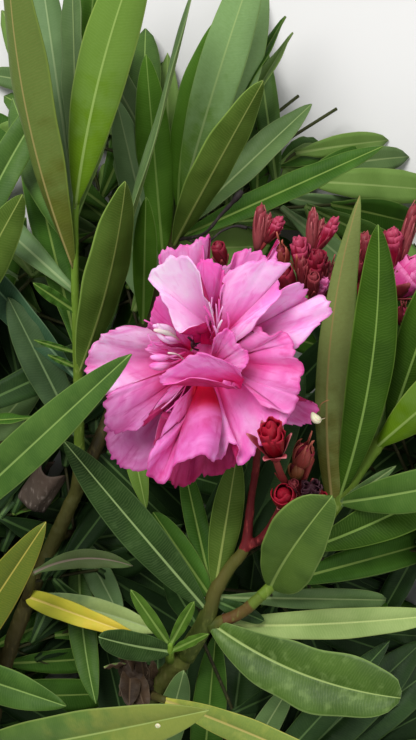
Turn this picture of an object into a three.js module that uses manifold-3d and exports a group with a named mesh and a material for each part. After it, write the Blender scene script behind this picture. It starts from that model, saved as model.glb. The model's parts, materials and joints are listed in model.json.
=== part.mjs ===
// A flowering oleander branch, cut off below its first fork and laid down on its back.
// Millimetres. X runs across the branch, Y from the cut towards the shoot tips, Z up from the ground.
import * as THREE from "three";
import Module from "manifold-3d";

const wasm = await Module();
wasm.setup();

// Driving dimensions, in millimetres
const bloomWidth = 68;
const bloomHeight = 88; // the middle of the bloom above the ground
const eyeHeight = 508; // where the branch is looked at from, above the ground
const leafThickness = 0.9;
const petalThickness = 0.8;
const budLength = 9.5;
const budRadius = 2.7;
const jointGap = 0.35; // between two pieces that meet end to end
const groundSkin = 0.6; // a blade that lies on the ground keeps its middle this high

// The picture that the branch is laid out in, in its own pixels
const picture = { width: 416, height: 740, middleU: 208, middleV: 370, bloomPixels: 245 };

const up = new THREE.Vector3(0, 0, 1);

// Millimetres to a pixel of the picture, at a height above the ground
function pixelSize(height) {
  return (bloomWidth / picture.bloomPixels) * (eyeHeight - height) / (eyeHeight - bloomHeight);
}

// A point given by its place in the picture, u to the right and v down, and its height
function spot([u, v, height]) {
  const scale = pixelSize(height);
  return new THREE.Vector3((u - picture.middleU) * scale, (picture.middleV - v) * scale, height);
}

// Stems: points [u, v, height] with the radius there. Each side stem starts inside the one it grows from.
const stems = {
  trunk: [
    [-22, 968, 5.7, 5.7], [-16, 930, 6.8, 5.4], [-11, 890, 8.6, 5.2], [-8, 852, 11, 5.3],
  ],
  left: [
    [-9, 866, 10, 4], [-13, 822, 12.4, 3.8], [-15, 765, 14, 3.3], [1, 677, 18, 3.1], [27, 603, 21, 2.9],
    [52, 545, 24, 2.8], [78, 488, 27, 2.8], [104, 429, 28, 2.4], [140, 335, 27, 2.1], [172, 248, 28, 1.7],
    [181, 205, 30, 1.4], [184, 165, 31, 1],
  ],
  leftShoot: [
    [74, 500, 26, 2.4], [79, 468, 32, 2.3], [79, 430, 38, 2.2], [78, 377, 44, 2], [75, 272, 55, 1.8],
    [76, 205, 60, 1.5], [82, 165, 61, 1],
  ],
  lowLeft: [
    [25, 608, 20.5, 1.6], [27, 596, 26, 1.5], [31, 584, 31, 1.3], [34, 572, 34, 0.9],
  ],
  lowMiddle: [
    [54, 541, 24, 1.5], [68, 534, 20, 1.4], [80, 534, 16, 1.2], [90, 539, 13, 0.9],
  ],
  outerLeft: [
    [-9, 866, 10, 3.6], [-40, 814, 12.6, 3.2], [-60, 775, 17.5, 2.9], [-80, 720, 22.5, 2.6],
    [-88, 640, 30, 2.2], [-74, 540, 38, 1.9], [-65, 430, 44, 1.6], [-61, 335, 47, 1.1],
  ],
  flower: [
    [-9, 866, 10, 4.2], [40, 820, 14, 3.9], [105, 762, 23, 3.6], [150, 696, 35, 3.5], [187, 652, 43.5, 3.2],
    [206, 620, 47, 2.8], [215, 592, 49.5, 2.2], [230, 567, 51, 1.9], [244, 549, 52.5, 1.7],
    [251, 500, 54, 1.45], [257, 455, 56, 1.4], [254, 410, 58, 1.4], [238, 384, 62, 1.5],
  ],
  side: [
    [209, 626, 47, 2.2], [226, 620, 48.5, 2], [242, 612, 50, 1.8], [262, 595, 52, 1.7], [300, 555, 50, 1.8],
    [336, 504, 48, 2], [375, 448, 48, 1.7], [420, 395, 50, 1.4], [448, 358, 51, 1],
  ],
  small: [
    [172, 668, 40.5, 1.7], [170, 658, 45, 1.4], [170, 650, 48.5, 1.2], [171, 642, 50, 0.9],
  ],
  low: [
    [112, 754, 24, 2], [136, 776, 19, 1.9], [170, 796, 16.5, 1.7], [210, 812, 16, 1.4], [256, 802, 18, 1],
  ],
  pale: [
    [152, 693, 35, 1.7], [152, 695, 40.5, 1.5], [156, 697, 46, 1.3], [166, 700, 50, 1],
  ],
  lowerBuds: [
    [246, 540, 53, 1.5], [255, 534, 56, 1.4], [270, 517, 60, 1.3], [286, 490, 64, 1.2], [279, 470, 68, 1],
    [273, 455, 70, 0.9],
  ],
  upperBuds: [
    [256, 420, 57, 1.3], [266, 384, 50, 1.2], [276, 345, 46, 1.2], [284, 322, 47, 1.1], [300, 292, 50, 1],
  ],
  rightBuds: [
    [282, 330, 47, 1.2], [300, 326, 42, 1.1], [330, 316, 38, 1.1], [360, 304, 38, 1], [390, 288, 40, 0.9],
  ],
};

// The limbs, each a run of stems from one of their points to another, with the starts of what grows on it
const limbs = {
  main_stem: [["trunk", 0, 3], ["left", 0, 1], ["outerLeft", 0, 1], ["flower", 0, 1]],
  left_bough: [["left", 1, 6.45], ["leftShoot", 0, 1], ["lowLeft", 0, 1], ["lowMiddle", 0, 1]],
  outer_left_bough: [["outerLeft", 1, 2]],
  flower_bough: [["flower", 1, 4], ["small", 0, 1], ["low", 0, 1], ["pale", 0, 1]],
  side_bough: [["side", 1, 3]],
  flower_stalk: [["flower", 8, 12], ["upperBuds", 0, 1], ["lowerBuds", 0, 1]],
};

// Outlines of the blades: a half width of t ** rise * (1 - t) ** fall, brought to 1 at its widest
const outlines = {
  long: { rise: 0.85, fall: 0.72 },
  spoon: { rise: 0.95, fall: 0.42 },
  oval: { rise: 0.62, fall: 0.55 },
  broad: { rise: 0.5, fall: 0.36 },
};

// Masses of foliage: the stem that each grows on, the leaves that show in the picture, and a rule for more.
// roll turns a blade about its own line, fold lifts its edges into a V, bow and sweep bend its line.
const masses = {
  outer_left_leaves: {
    run: ["outerLeft", 2, 7],
    leaves: [
      { root: [-63, 764, 20], tip: [209, 711, 98], wide: 15, bow: 2 },
      { root: [-81, 716, 24], tip: [46, 522, 66], wide: 13, bow: 2 },
      { root: [-87, 655, 29], tip: [66, 706, 54], wide: 12 },
      { root: [-74, 545, 38], tip: [131, 354, 112], wide: 12.5, roll: 12, bow: 2 },
      { root: [-65, 425, 44], tip: [34, 418, 56], wide: 5, roll: 50 },
      { root: [-62, 350, 46], tip: [23, 194, 68], wide: 13, reverse: true },
      { root: [-61, 338, 46], tip: [82, 52, 54], wide: 10.5, sweep: -5 },
    ],
    fill: { seed: 11, whorls: 7 },
  },
  left_shoot_leaves: {
    run: ["leftShoot", 1, 6],
    leaves: [
      { root: [74, 268, 56], tip: [6, -75, 100], wide: 15.5, roll: 34, fold: 0.36, reverse: true, sweep: 1 },
      { root: [76, 206, 60], tip: [152, -80, 86], wide: 15.5, reverse: true, sweep: -3 },
      { root: [80, 374, 45], tip: [125, 181, 82], wide: 14, roll: -34, fold: 0.3, reverse: true, sweep: 2 },
      { root: [79, 372, 44], tip: [192, -10, 70], wide: 12, roll: 76 },
      { root: [76, 312, 51], tip: [33, 283, 58], wide: 4 },
      { root: [77, 378, 44], tip: [-72, 212, 42], wide: 11, roll: 46 },
      { root: [79, 440, 37], tip: [8, 297, 46], wide: 12.5 },
      { root: [76, 210, 59], tip: [36, -62, 56], wide: 10, reverse: true },
      { root: [78, 190, 60], tip: [72, -50, 66], wide: 9, roll: 40 },
      { root: [80, 175, 60], tip: [98, -72, 52], wide: 12, reverse: true },
    ],
    fill: { seed: 5, whorls: 10 },
  },
  middle_shoot_leaves: {
    run: ["left", 6.45, 11],
    leaves: [
      { root: [178, 216, 29], tip: [224, -12, 46], wide: 11, roll: 24, sweep: -4, reverse: true },
      { root: [181, 208, 30], tip: [264, -62, 62], wide: 14, sweep: -1, reverse: true },
      { root: [182, 200, 31], tip: [264, -30, 42], wide: 12, sweep: 4, reverse: true },
      { root: [173, 246, 29], tip: [263, 80, 70], wide: 12.5, roll: -30, reverse: true, bow: 3 },
      { root: [143, 326, 28], tip: [146, 197, 56], wide: 7.6, reverse: true },
      { root: [164, 272, 28], tip: [146, 54, 38], wide: 12, reverse: true },
      { root: [160, 284, 27], tip: [104, 84, 32], wide: 11, reverse: true },
      { root: [182, 190, 30], tip: [286, 16, 36], wide: 8, roll: 50 },
      { root: [179, 220, 29], tip: [293, 32, 28], wide: 8, roll: 55 },
      { root: [174, 240, 28], tip: [384, 146, 40], wide: 9, roll: 20 },
      { root: [176, 232, 28], tip: [312, 104, 24], wide: 11, roll: 25 },
      { root: [120, 388, 27], tip: [146, 508, 46], wide: 7 },
    ],
    fill: { seed: 29, whorls: 12 },
  },
  low_left_leaves: {
    run: ["lowLeft", 1, 3],
    leaves: [
      { root: [29, 590, 29], tip: [132, 637, 40], wide: 8.5, bow: 2 },
      { root: [34, 573, 34], tip: [133, 564, 40], wide: 6 },
      { root: [32, 580, 32], tip: [172, 608, 30], wide: 8 },
    ],
  },
  low_middle_leaves: {
    run: ["lowMiddle", 1, 3],
    leaves: [
      { root: [78, 534, 17], tip: [120, 613, 12], wide: 8 },
      { root: [80, 534, 16], tip: [94, 706, 8], wide: 8, sweep: 2 },
      { root: [90, 539, 13], tip: [184, 524, 9], wide: 10 },
      { root: [88, 538, 13], tip: [166, 452, 6], wide: 10 },
      { root: [89, 539, 13], tip: [180, 600, 8], wide: 9 },
    ],
  },
  fork_leaves: {
    run: ["flower", 4, 8],
    starts: [["side", 0, 1]],
    leaves: [
      { root: [199, 632, 46], tip: [403, 690, 74], wide: 18, kind: "spoon", sweep: 2 },
      { root: [204, 624, 46], tip: [452, 613, 40], wide: 9.5, bow: -3, sweep: 2 },
      { root: [214, 597, 49], tip: [385, 600, 34], wide: 7, kind: "spoon" },
      { root: [208, 612, 48], tip: [63, 440, 76], wide: 12, bow: 2 },
      { root: [214, 594, 49], tip: [237, 455, 58], wide: 9.5, reverse: true },
      { root: [216, 590, 49], tip: [152, 516, 50], wide: 6, kind: "oval" },
      { root: [218, 585, 49], tip: [168, 505, 44], wide: 4.5 },
      { root: [228, 570, 51], tip: [304, 370, 40], wide: 12, bow: -3 },
      { root: [226, 574, 50], tip: [238, 452, 44], wide: 4 },
    ],
  },
  small_leaves: {
    run: ["small", 1, 3],
    leaves: [
      { root: [170, 646, 49], tip: [131, 590, 60], wide: 3.6, kind: "oval" },
      { root: [170, 650, 48], tip: [99, 637, 64], wide: 8.6, kind: "oval", sweep: -0.5 },
      { root: [171, 644, 50], tip: [193, 606, 62], wide: 3.2 },
      { root: [170, 652, 48], tip: [208, 634, 62], wide: 2.6 },
    ],
  },
  low_leaves: {
    run: ["low", 1, 4],
    leaves: [
      { root: [154, 786, 18], tip: [184, 670, 52], wide: 10, reverse: true },
      { root: [200, 810, 16], tip: [222, 640, 34], wide: 12 },
      { root: [214, 812, 16], tip: [296, 676, 28], wide: 9 },
      { root: [236, 806, 17], tip: [390, 640, 32], wide: 10, reverse: true },
      { root: [250, 803, 18], tip: [420, 770, 22], wide: 12 },
      { root: [170, 796, 17], tip: [120, 900, 8], wide: 12 },
      { root: [230, 808, 16], tip: [300, 930, 6], wide: 13 },
    ],
  },
  pale_leaf: {
    run: ["pale", 1, 3],
    leaves: [{ root: [160, 698, 48], tip: [368, 786, 86], wide: 9, sweep: -1.5, bow: 3 }],
  },
  right_shoot_leaves: {
    run: ["side", 3, 8],
    leaves: [
      { root: [266, 591, 52], tip: [334, 497, 88], wide: 17.5, kind: "broad", bow: 3, sweep: -1.5 },
      { root: [334, 508, 48], tip: [357, 195, 72], wide: 12, roll: 34, fold: 0.3, reverse: true },
      { root: [338, 502, 48], tip: [378, 224, 84], wide: 13.5, reverse: true },
      { root: [388, 434, 49], tip: [452, 246, 76], wide: 13, reverse: true },
      { root: [376, 448, 49], tip: [505, 336, 90], wide: 14, reverse: true },
      { root: [304, 551, 50], tip: [502, 436, 66], wide: 13 },
      { root: [337, 503, 48], tip: [510, 440, 44], wide: 11 },
      { root: [332, 511, 48], tip: [396, 466, 58], wide: 3.6 },
      { root: [444, 362, 51], tip: [530, 190, 62], wide: 13 },
      { root: [446, 360, 51], tip: [600, 290, 58], wide: 13 },
      { root: [402, 417, 49], tip: [590, 400, 44], wide: 13 },
    ],
    fill: { seed: 17, whorls: 8 },
  },
};

// Bud clusters: red stalks that fork, and a bud at the end of each
const clusters = {
  upper_buds: {
    run: ["upperBuds", 1, 4],
    starts: [["rightBuds", 0, 1]],
    twigs: [
      [[284, 322, 47, 1], [274, 285, 48, 0.9], [266, 248, 50, 0.8]],
      [[284, 322, 47, 1], [308, 280, 46, 0.9], [318, 246, 48, 0.8]],
      [[275, 290, 48, 0.8], [246, 274, 50, 0.8], [228, 264, 54, 0.7]],
      [[300, 292, 50, 0.9], [324, 286, 50, 0.8]],
    ],
    buds: [
      { foot: [228, 264, 54], point: [219, 240, 60], size: 1.15 },
      { foot: [264, 240, 50], point: [262, 200, 52], size: 1.3 },
      { foot: [268, 248, 50], point: [280, 222, 54] },
      { foot: [279, 262, 49], point: [278, 236, 56] },
      { foot: [297, 284, 50], point: [291, 250, 58], size: 1.15 },
      { foot: [306, 275, 47], point: [303, 240, 56], size: 1.1 },
      { foot: [318, 282, 50], point: [319, 250, 60], size: 1.3 },
      { foot: [314, 288, 50], point: [315, 270, 62], size: 0.75 },
      { foot: [298, 294, 50], point: [284, 272, 62], size: 1.2 },
      { foot: [316, 246, 48], point: [313, 208, 50], size: 1.15 },
      { foot: [320, 246, 48], point: [334, 220, 52] },
      { foot: [324, 288, 50], point: [340, 262, 48] },
    ],
  },
  right_buds: {
    run: ["rightBuds", 1, 4],
    twigs: [
      [[360, 304, 38, 0.9], [366, 276, 40, 0.9], [366, 256, 42, 0.8]],
      [[390, 288, 40, 0.9], [400, 262, 42, 0.8], [410, 244, 44, 0.8]],
    ],
    buds: [
      { foot: [362, 262, 42], point: [361, 234, 46] },
      { foot: [368, 258, 42], point: [374, 228, 44] },
      { foot: [397, 268, 42], point: [396, 238, 50], size: 1.15 },
      { foot: [410, 244, 44], point: [416, 212, 48], size: 1.1 },
      { foot: [386, 288, 40], point: [384, 262, 48] },
      { foot: [394, 286, 40], point: [426, 268, 46], size: 2 },
      { foot: [388, 292, 39], point: [406, 326, 42], size: 1 },
      { foot: [346, 309, 38], point: [342, 276, 42], size: 1.1 },
    ],
  },
  lower_buds: {
    run: ["lowerBuds", 1, 5],
    twigs: [
      [[286, 490, 64, 1.1], [298, 474, 66, 1], [304, 460, 68, 0.9]],
      [[286, 490, 64, 1], [300, 490, 66, 0.9], [310, 490, 68, 0.8]],
    ],
    buds: [
      { foot: [273, 455, 70], point: [263, 424, 76], size: 1.25 },
      { foot: [303, 462, 68], point: [311, 436, 74], size: 1.2 },
      { foot: [296, 478, 66], point: [297, 452, 72], size: 0.7 },
      { foot: [285, 494, 65], point: [281, 497, 76], size: 1.15 },
      { foot: [309, 490, 68], point: [312, 486, 76] },
    ],
  },
};

// The bloom: a short tube, and petals round its throat, the outer ones first.
// cup lifts a petal's sides, bow arches it, curl turns its rim over, and frill is the height of its waves.
const bloom = {
  foot: [236, 380, 63],
  throat: [205, 358, 82],
  tube: [[0, 0], [2.4, 0], [3.2, 3], [2.4, 7], [3.6, 13], [6.2, 20], [5.2, 23], [0, 21]],
  petals: [
    { root: [200, 340, 80], tip: [186, 240, 90], wide: 15, cup: 0.2, frill: 2, phase: 1 },
    { root: [204, 344, 79], tip: [208, 234, 92], wide: 6, cup: 0.2, frill: 0.6, phase: 1 },
    { root: [212, 344, 79], tip: [262, 246, 84], wide: 16, cup: 0.15, frill: 2, phase: 2.4 },
    { root: [213, 354, 79], tip: [327, 295, 86], wide: 18, cup: 0.15, frill: 2.4, phase: 0.4 },
    { root: [214, 362, 76], tip: [318, 412, 74], wide: 10, cup: 0.1, frill: 1, phase: 1.6 },
    { root: [205, 370, 78], tip: [204, 486, 76], wide: 20, cup: 0.1, frill: 2, phase: 3 },
    { root: [192, 370, 78], tip: [124, 470, 78], wide: 17, cup: 0.12, frill: 2, phase: 2 },
    { root: [200, 350, 79], tip: [148, 306, 84], wide: 10, cup: 0.1, frill: 0.8, phase: 0.8 },
    { root: [194, 362, 80], tip: [85, 356, 84], wide: 22, cup: 0.1, frill: 1.8, phase: 0.8 },
    { root: [194, 364, 81], tip: [112, 430, 87], wide: 18, cup: 0.14, frill: 2.2, phase: 2.9 },
    { root: [212, 362, 80], tip: [302, 376, 92], wide: 25, cup: 0.14, frill: 2.4, phase: 1.2 },
    { root: [212, 366, 80], tip: [248, 464, 88], wide: 17, cup: 0.16, frill: 2, phase: 0.2 },
    { root: [200, 372, 82], tip: [180, 478, 93], wide: 21, cup: 0.3, frill: 2.2, phase: 2.2, curl: 3 },
    { root: [205, 340, 83], tip: [214, 258, 92], wide: 10, cup: 0.3, frill: 1, phase: 0.6 },
    { root: [214, 345, 84], tip: [280, 260, 99], wide: 20, cup: 0.2, frill: 2, phase: 1.9 },
    { root: [203, 344, 80], tip: [166, 254, 104], wide: 16, cup: 0.25, frill: 1.2, phase: 2.7, roll: -16 },
    { root: [207, 356, 79], tip: [242, 334, 100], wide: 12, cup: 0.3, frill: 1, phase: 0.5 },
    { root: [226, 372, 80], tip: [159, 378, 101], wide: 9, cup: -0.2, frill: 0.8, phase: 1.1, bow: 3 },
  ],
};

// The rule for the leaves that the picture doesn't show: whorls of three, each turned against the last
const fillRule = {
  perWhorl: 3,
  spread: [34, 66], // degrees away from the stem
  long: [58, 90],
  wide: [10, 14],
  clear: 3, // from any other blade or stem
  rootReach: 12, // a leaf may be near its own whorl up to here
  drop: 0.12, // within the picture a leaf sinks below its whorl at least this much for its length
  stations: [0, 0.14, 0.38, 0.66, 0.88],
  pictureMargin: 12, // pixels
};

const stalkHalfWidth = 0.9;
const stalkShare = 0.12; // of a leaf's length
const bladeStations = [0, 0.1, 0.24, 0.4, 0.57, 0.74, 0.89];
const limbStep = 8;
const petalRows = 4;
const petalColumns = 5;

function solidFrom(corners, faces) {
  const vertProperties = new Float32Array(corners.flatMap((p) => [p.x, p.y, p.z]));
  const solid = (order) =>
    new wasm.Manifold(new wasm.Mesh({ numProp: 3, vertProperties, triVerts: new Uint32Array(order) }));
  const made = solid(faces);
  return made.volume() >= 0 ? made : solid([...faces].reverse());
}

function halfWidth(kind, wide, t) {
  const { rise, fall } = outlines[kind];
  const peak = rise / (rise + fall);
  return ((wide / 2) * (t ** rise * (1 - t) ** fall)) / (peak ** rise * (1 - peak) ** fall);
}

// The directions of a blade or petal that runs from start to end and faces up
function bladeFrame({ start, end, roll = 0 }) {
  const along = end.clone().sub(start);
  const axis = along.clone().normalize();
  const facing = up.clone().addScaledVector(axis, -up.dot(axis)).normalize();
  const side = new THREE.Vector3().crossVectors(axis, facing);
  const turn = THREE.MathUtils.degToRad(roll);
  const across = side.clone().multiplyScalar(Math.cos(turn)).addScaledVector(facing, Math.sin(turn));
  const normal = new THREE.Vector3().crossVectors(across, axis);
  return { along, facing, side, across, normal };
}

// The middle and the two edges of a leaf at t, from 0 at its root to 1 at its tip
function bladeSection(leaf, frame, t) {
  const { kind = "long", bow = 0, sweep = 0, fold = 0.22 } = leaf;
  const bend = 4 * t * (1 - t);
  const middle = leaf.start.clone().addScaledVector(frame.along, t);
  middle.addScaledVector(frame.facing, bow * bend).addScaledVector(frame.side, sweep * bend);
  const half = Math.max(halfWidth(kind, leaf.wide, t), t < stalkShare ? stalkHalfWidth : 0);
  const lift = (leaf.reverse ? -fold : fold) * half;
  const edge = (sign) =>
    middle.clone().addScaledVector(frame.across, sign * half).addScaledVector(frame.normal, lift);
  return { middle, left: edge(-1), right: edge(1) };
}

// Rings of four corners, left edge, upper side, right edge and lower side, closed by a face and a tip
function leafSolid(leaf) {
  const frame = bladeFrame(leaf);
  const stations = leaf.stations ?? bladeStations;
  const thick = Math.max(leafThickness, frame.along.length() * 0.012);
  const lifted = (point, least) => point.setZ(Math.max(point.z, least));
  const corners = [];
  for (const t of stations) {
    const { middle, left, right } = bladeSection(leaf, frame, t);
    const half = (thick / 2) * (1 - 0.45 * t);
    const above = middle.clone().addScaledVector(frame.normal, half);
    const below = middle.clone().addScaledVector(frame.normal, -half);
    corners.push(lifted(left, groundSkin), lifted(above, 2 * groundSkin));
    corners.push(lifted(right, groundSkin), lifted(below, 0));
  }
  corners.push(lifted(bladeSection(leaf, frame, 1).middle, groundSkin));
  const last = stations.length - 1;
  const faces = [0, 1, 2, 0, 2, 3];
  for (let ring = 0; ring < last; ring++) faces.push(...band(ring * 4, (ring + 1) * 4, 4));
  for (let k = 0; k < 4; k++) faces.push(last * 4 + k, last * 4 + 4, last * 4 + ((k + 1) % 4));
  return solidFrom(corners, faces);
}

// The faces between two closed rings of corners
function band(first, second, sides) {
  const faces = [];
  for (let k = 0; k < sides; k++) {
    const next = (k + 1) % sides;
    faces.push(first + k, second + next, first + next, first + k, second + k, second + next);
  }
  return faces;
}

function stemCurve(points) {
  const curve = new THREE.CatmullRomCurve3(points.map(spot), false, "centripetal");
  curve.radii = points.map((point) => point[3]);
  return curve;
}

function radiusAt(curve, t) {
  const place = t * (curve.radii.length - 1);
  const low = Math.min(Math.floor(place), curve.radii.length - 2);
  return THREE.MathUtils.lerp(curve.radii[low], curve.radii[low + 1], place - low);
}

// A tapering limb along a curve between two shares of it, with flat ends
function limbSolid(curve, from, to, sides) {
  const pieces = Math.max(1, Math.round(((to - from) * curve.getLength()) / limbStep));
  const corners = [];
  const faces = [];
  for (let i = 0; i <= pieces; i++) {
    const t = THREE.MathUtils.lerp(from, to, i / pieces);
    const middle = curve.getPoint(t);
    const side = new THREE.Vector3().crossVectors(curve.getTangent(t), up).normalize();
    const over = new THREE.Vector3().crossVectors(side, curve.getTangent(t));
    for (let k = 0; k < sides; k++) {
      const turn = (2 * Math.PI * k) / sides;
      const corner = middle.clone().addScaledVector(side, Math.cos(turn) * radiusAt(curve, t));
      corners.push(corner.addScaledVector(over, Math.sin(turn) * radiusAt(curve, t)));
    }
    if (i > 0) faces.push(...band((i - 1) * sides, i * sides, sides));
  }
  const last = pieces * sides;
  for (let k = 1; k < sides - 1; k++) faces.push(0, k, k + 1, last, last + k + 1, last + k);
  return solidFrom(corners, faces);
}

const curves = Object.fromEntries(Object.entries(stems).map(([name, points]) => [name, stemCurve(points)]));

// The shares of a stem between two of its points, with the joint gap left open at its start
function runShares([name, first, last]) {
  const curve = curves[name];
  const count = curve.points.length - 1;
  const from = first / count;
  const nearby = 0.001;
  const speed = curve.getPoint(from).distanceTo(curve.getPoint(from + nearby)) / nearby;
  return [curve, first > 0 ? from + jointGap / speed : 0, last / count];
}

function runSolid(run, sides) {
  return limbSolid(...runShares(run), sides);
}

// The run of stem that a mass or cluster grows on, with the starts of what grows on that
function ownRuns({ run, starts = [] }) {
  return [run, ...starts];
}

// A closed bud: a spindle on its stalk, swollen above its foot
function budSolid({ foot, point, size = 1 }) {
  const shape = [[0, 0], [0.5, 0], [0.95, 0.22], [0.95, 0.55], [0.45, 0.9], [0, 1]];
  const sunk = 0.12;
  const profile = shape.map(([r, h]) => [r * budRadius * size, (h - sunk) * budLength * size]);
  return turnedSolid(profile, spot(foot), spot(point), 5);
}

// A turned shape that stands on a foot and points to another point
function turnedSolid(profile, foot, point, sides) {
  const turned = new THREE.LatheGeometry(profile.map(([r, h]) => new THREE.Vector2(r, h)), sides);
  const axis = point.clone().sub(foot).normalize();
  turned.applyQuaternion(new THREE.Quaternion().setFromUnitVectors(new THREE.Vector3(0, 1, 0), axis));
  turned.translate(foot.x, foot.y, foot.z);
  return mergedSolid(turned);
}

function mergedSolid(geometry) {
  const position = geometry.getAttribute("position");
  const places = new Map();
  const corners = [];
  const merged = [];
  for (let i = 0; i < position.count; i++) {
    const corner = new THREE.Vector3().fromBufferAttribute(position, i);
    const key = corner.toArray().map((c) => c.toFixed(3)).join();
    if (!places.has(key)) places.set(key, corners.push(corner) - 1);
    merged.push(places.get(key));
  }
  const faces = [];
  for (let i = 0; i < geometry.index.count; i += 3) {
    const face = [0, 1, 2].map((k) => merged[geometry.index.getX(i + k)]);
    if (new Set(face).size === 3) faces.push(...face);
  }
  return solidFrom(corners, faces);
}

// A petal's point at t along it, from its narrow claw to its rim, and s across it, from -1 to 1
function petalPoint(petal, frame, t, s) {
  const { cup, frill, phase, bow = 0, curl = 0 } = petal;
  const claw = 0.16;
  const broadAt = 0.78;
  const rounding = 0.22;
  const waves = 2.2;
  const spread = claw + (1 - claw) * Math.sin(Math.min(1, t / broadAt) * (Math.PI / 2)) ** 1.3;
  const half = (petal.wide / 2) * spread;
  const reach = t * (1 - rounding * s * s * t);
  const wave = Math.sin(waves * Math.PI * s + phase) * frill * t * t;
  const lift = bow * 4 * reach * (1 - reach) + cup * s * s * half * t + wave + curl * t ** 4;
  const point = petal.start.clone().addScaledVector(frame.along, reach);
  return point.addScaledVector(frame.across, s * half).addScaledVector(frame.normal, lift);
}

// A sheet of petal points, thickened both ways and closed round its rim
function petalSolid(petal) {
  const frame = bladeFrame(petal);
  const row = petalColumns + 1;
  const sheet = [];
  for (let i = 0; i <= petalRows; i++) {
    for (let k = 0; k <= petalColumns; k++) {
      sheet.push(petalPoint(petal, frame, i / petalRows, (2 * k) / petalColumns - 1));
    }
  }
  const faces = [];
  for (let i = 0; i < petalRows; i++) {
    for (let k = 0; k < petalColumns; k++) {
      const a = i * row + k;
      faces.push(a, a + 1, a + row + 1, a, a + row + 1, a + row);
    }
  }
  const geometry = new THREE.BufferGeometry().setFromPoints(sheet).setIndex([...faces]);
  geometry.computeVertexNormals();
  const normals = geometry.getAttribute("normal");
  const offset = (amount) =>
    sheet.map((p, i) => p.clone().addScaledVector(new THREE.Vector3().fromBufferAttribute(normals, i), amount));
  const corners = [...offset(petalThickness / 2), ...offset(-petalThickness / 2)];
  const count = sheet.length;
  for (let i = faces.length - 3; i >= 0; i -= 3) {
    faces.push(faces[i] + count, faces[i + 2] + count, faces[i + 1] + count);
  }
  const rim = [];
  for (let k = 0; k < petalColumns; k++) rim.push(k);
  for (let i = 0; i < petalRows; i++) rim.push(i * row + petalColumns);
  for (let k = petalColumns; k > 0; k--) rim.push(petalRows * row + k);
  for (let i = petalRows; i > 0; i--) rim.push(i * row);
  rim.forEach((a, i) => {
    const b = rim[(i + 1) % rim.length];
    faces.push(a, a + count, b + count, a, b + count, b);
  });
  return solidFrom(corners, faces);
}

// Points over a blade or along a stem, for telling whether two pieces come too near
function bladeSamples(leaf) {
  const frame = bladeFrame(leaf);
  const points = [];
  for (let i = 0; i <= 16; i++) {
    const { middle, left, right } = bladeSection(leaf, frame, i / 16);
    points.push(middle, left, right, middle.clone().lerp(left, 0.5), middle.clone().lerp(right, 0.5));
  }
  return points;
}

function stemSamples(curve) {
  return curve.getSpacedPoints(Math.ceil(curve.getLength() / 4));
}

// Whether a point shows inside the picture, with a margin round it
function inPicture(point) {
  const scale = pixelSize(point.z);
  const u = point.x / scale + picture.middleU;
  const v = picture.middleV - point.y / scale;
  const margin = fillRule.pictureMargin;
  return u > -margin && u < picture.width + margin && v > -margin && v < picture.height + margin;
}

// A small seeded generator, the same each run
function seeded(seed) {
  let state = seed;
  return () => {
    state = (Math.imul(state, 1664525) + 1013904223) >>> 0;
    return state / 2 ** 32;
  };
}

// The leaves of a mass that grow by the rule, where there is room for them
function grownLeaves(mass, taken) {
  const random = seeded(mass.fill.seed);
  const between = ([low, high]) => low + (high - low) * random();
  const [curve, from, to] = runShares(mass.run);
  const grown = [];
  const { perWhorl, rootReach, clear, drop } = fillRule;
  for (let whorl = 0; whorl < mass.fill.whorls; whorl++) {
    const t = THREE.MathUtils.lerp(from, to, 0.06 + (0.9 * whorl) / (mass.fill.whorls - 1));
    const start = curve.getPoint(t);
    const axis = curve.getTangent(t);
    const side = new THREE.Vector3().crossVectors(axis, up).normalize();
    const over = new THREE.Vector3().crossVectors(side, axis);
    for (let k = 0; k < 2 * perWhorl; k++) {
      const turn = (Math.PI / perWhorl) * (k + 0.5 * whorl + 0.4 * random());
      const spread = THREE.MathUtils.degToRad(between(fillRule.spread));
      const way = side.clone().multiplyScalar(Math.cos(turn)).addScaledVector(over, Math.sin(turn));
      way.multiplyScalar(Math.sin(spread)).addScaledVector(axis, Math.cos(spread));
      const end = start.clone().addScaledVector(way, between(fillRule.long));
      end.z = Math.max(end.z, groundSkin);
      const { stations } = fillRule;
      const leaf = { start, end, stations, wide: between(fillRule.wide), roll: 50 * (random() - 0.5), bow: 2 };
      const free = bladeSamples(leaf).every((p) => {
        const reach = p.distanceTo(start);
        if (reach < rootReach) return true;
        if (p.z < groundSkin / 2 || (inPicture(p) && p.z > start.z - drop * reach)) return false;
        return taken.every((q) => p.distanceTo(q) > clear);
      });
      if (!free) continue;
      grown.push(leaf);
      taken.push(...bladeSamples(leaf));
    }
  }
  return grown;
}

// A leaf's root is sunk into the stem that it grows on
function rooted(leaf, [curve, from, to]) {
  const wanted = spot(leaf.root);
  let start = curve.getPoint(from);
  for (let i = 0; i <= 200; i++) {
    const point = curve.getPoint(THREE.MathUtils.lerp(from, to, i / 200));
    if (point.distanceTo(wanted) < start.distanceTo(wanted)) start = point;
  }
  return { ...leaf, start, end: spot(leaf.tip) };
}

// Materials, by what they stand for
const paint = (color, roughness) => new THREE.MeshStandardMaterial({ color, roughness, metalness: 0 });
const materials = {
  bark: paint(0x5f5238, 0.85),
  leaf: paint(0x3f6d28, 0.5),
  redStalk: paint(0x8a3b33, 0.6),
  bud: paint(0x9c1f38, 0.5),
  petal: paint(0xee6cb0, 0.6),
};

const branch = new THREE.Group();

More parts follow.
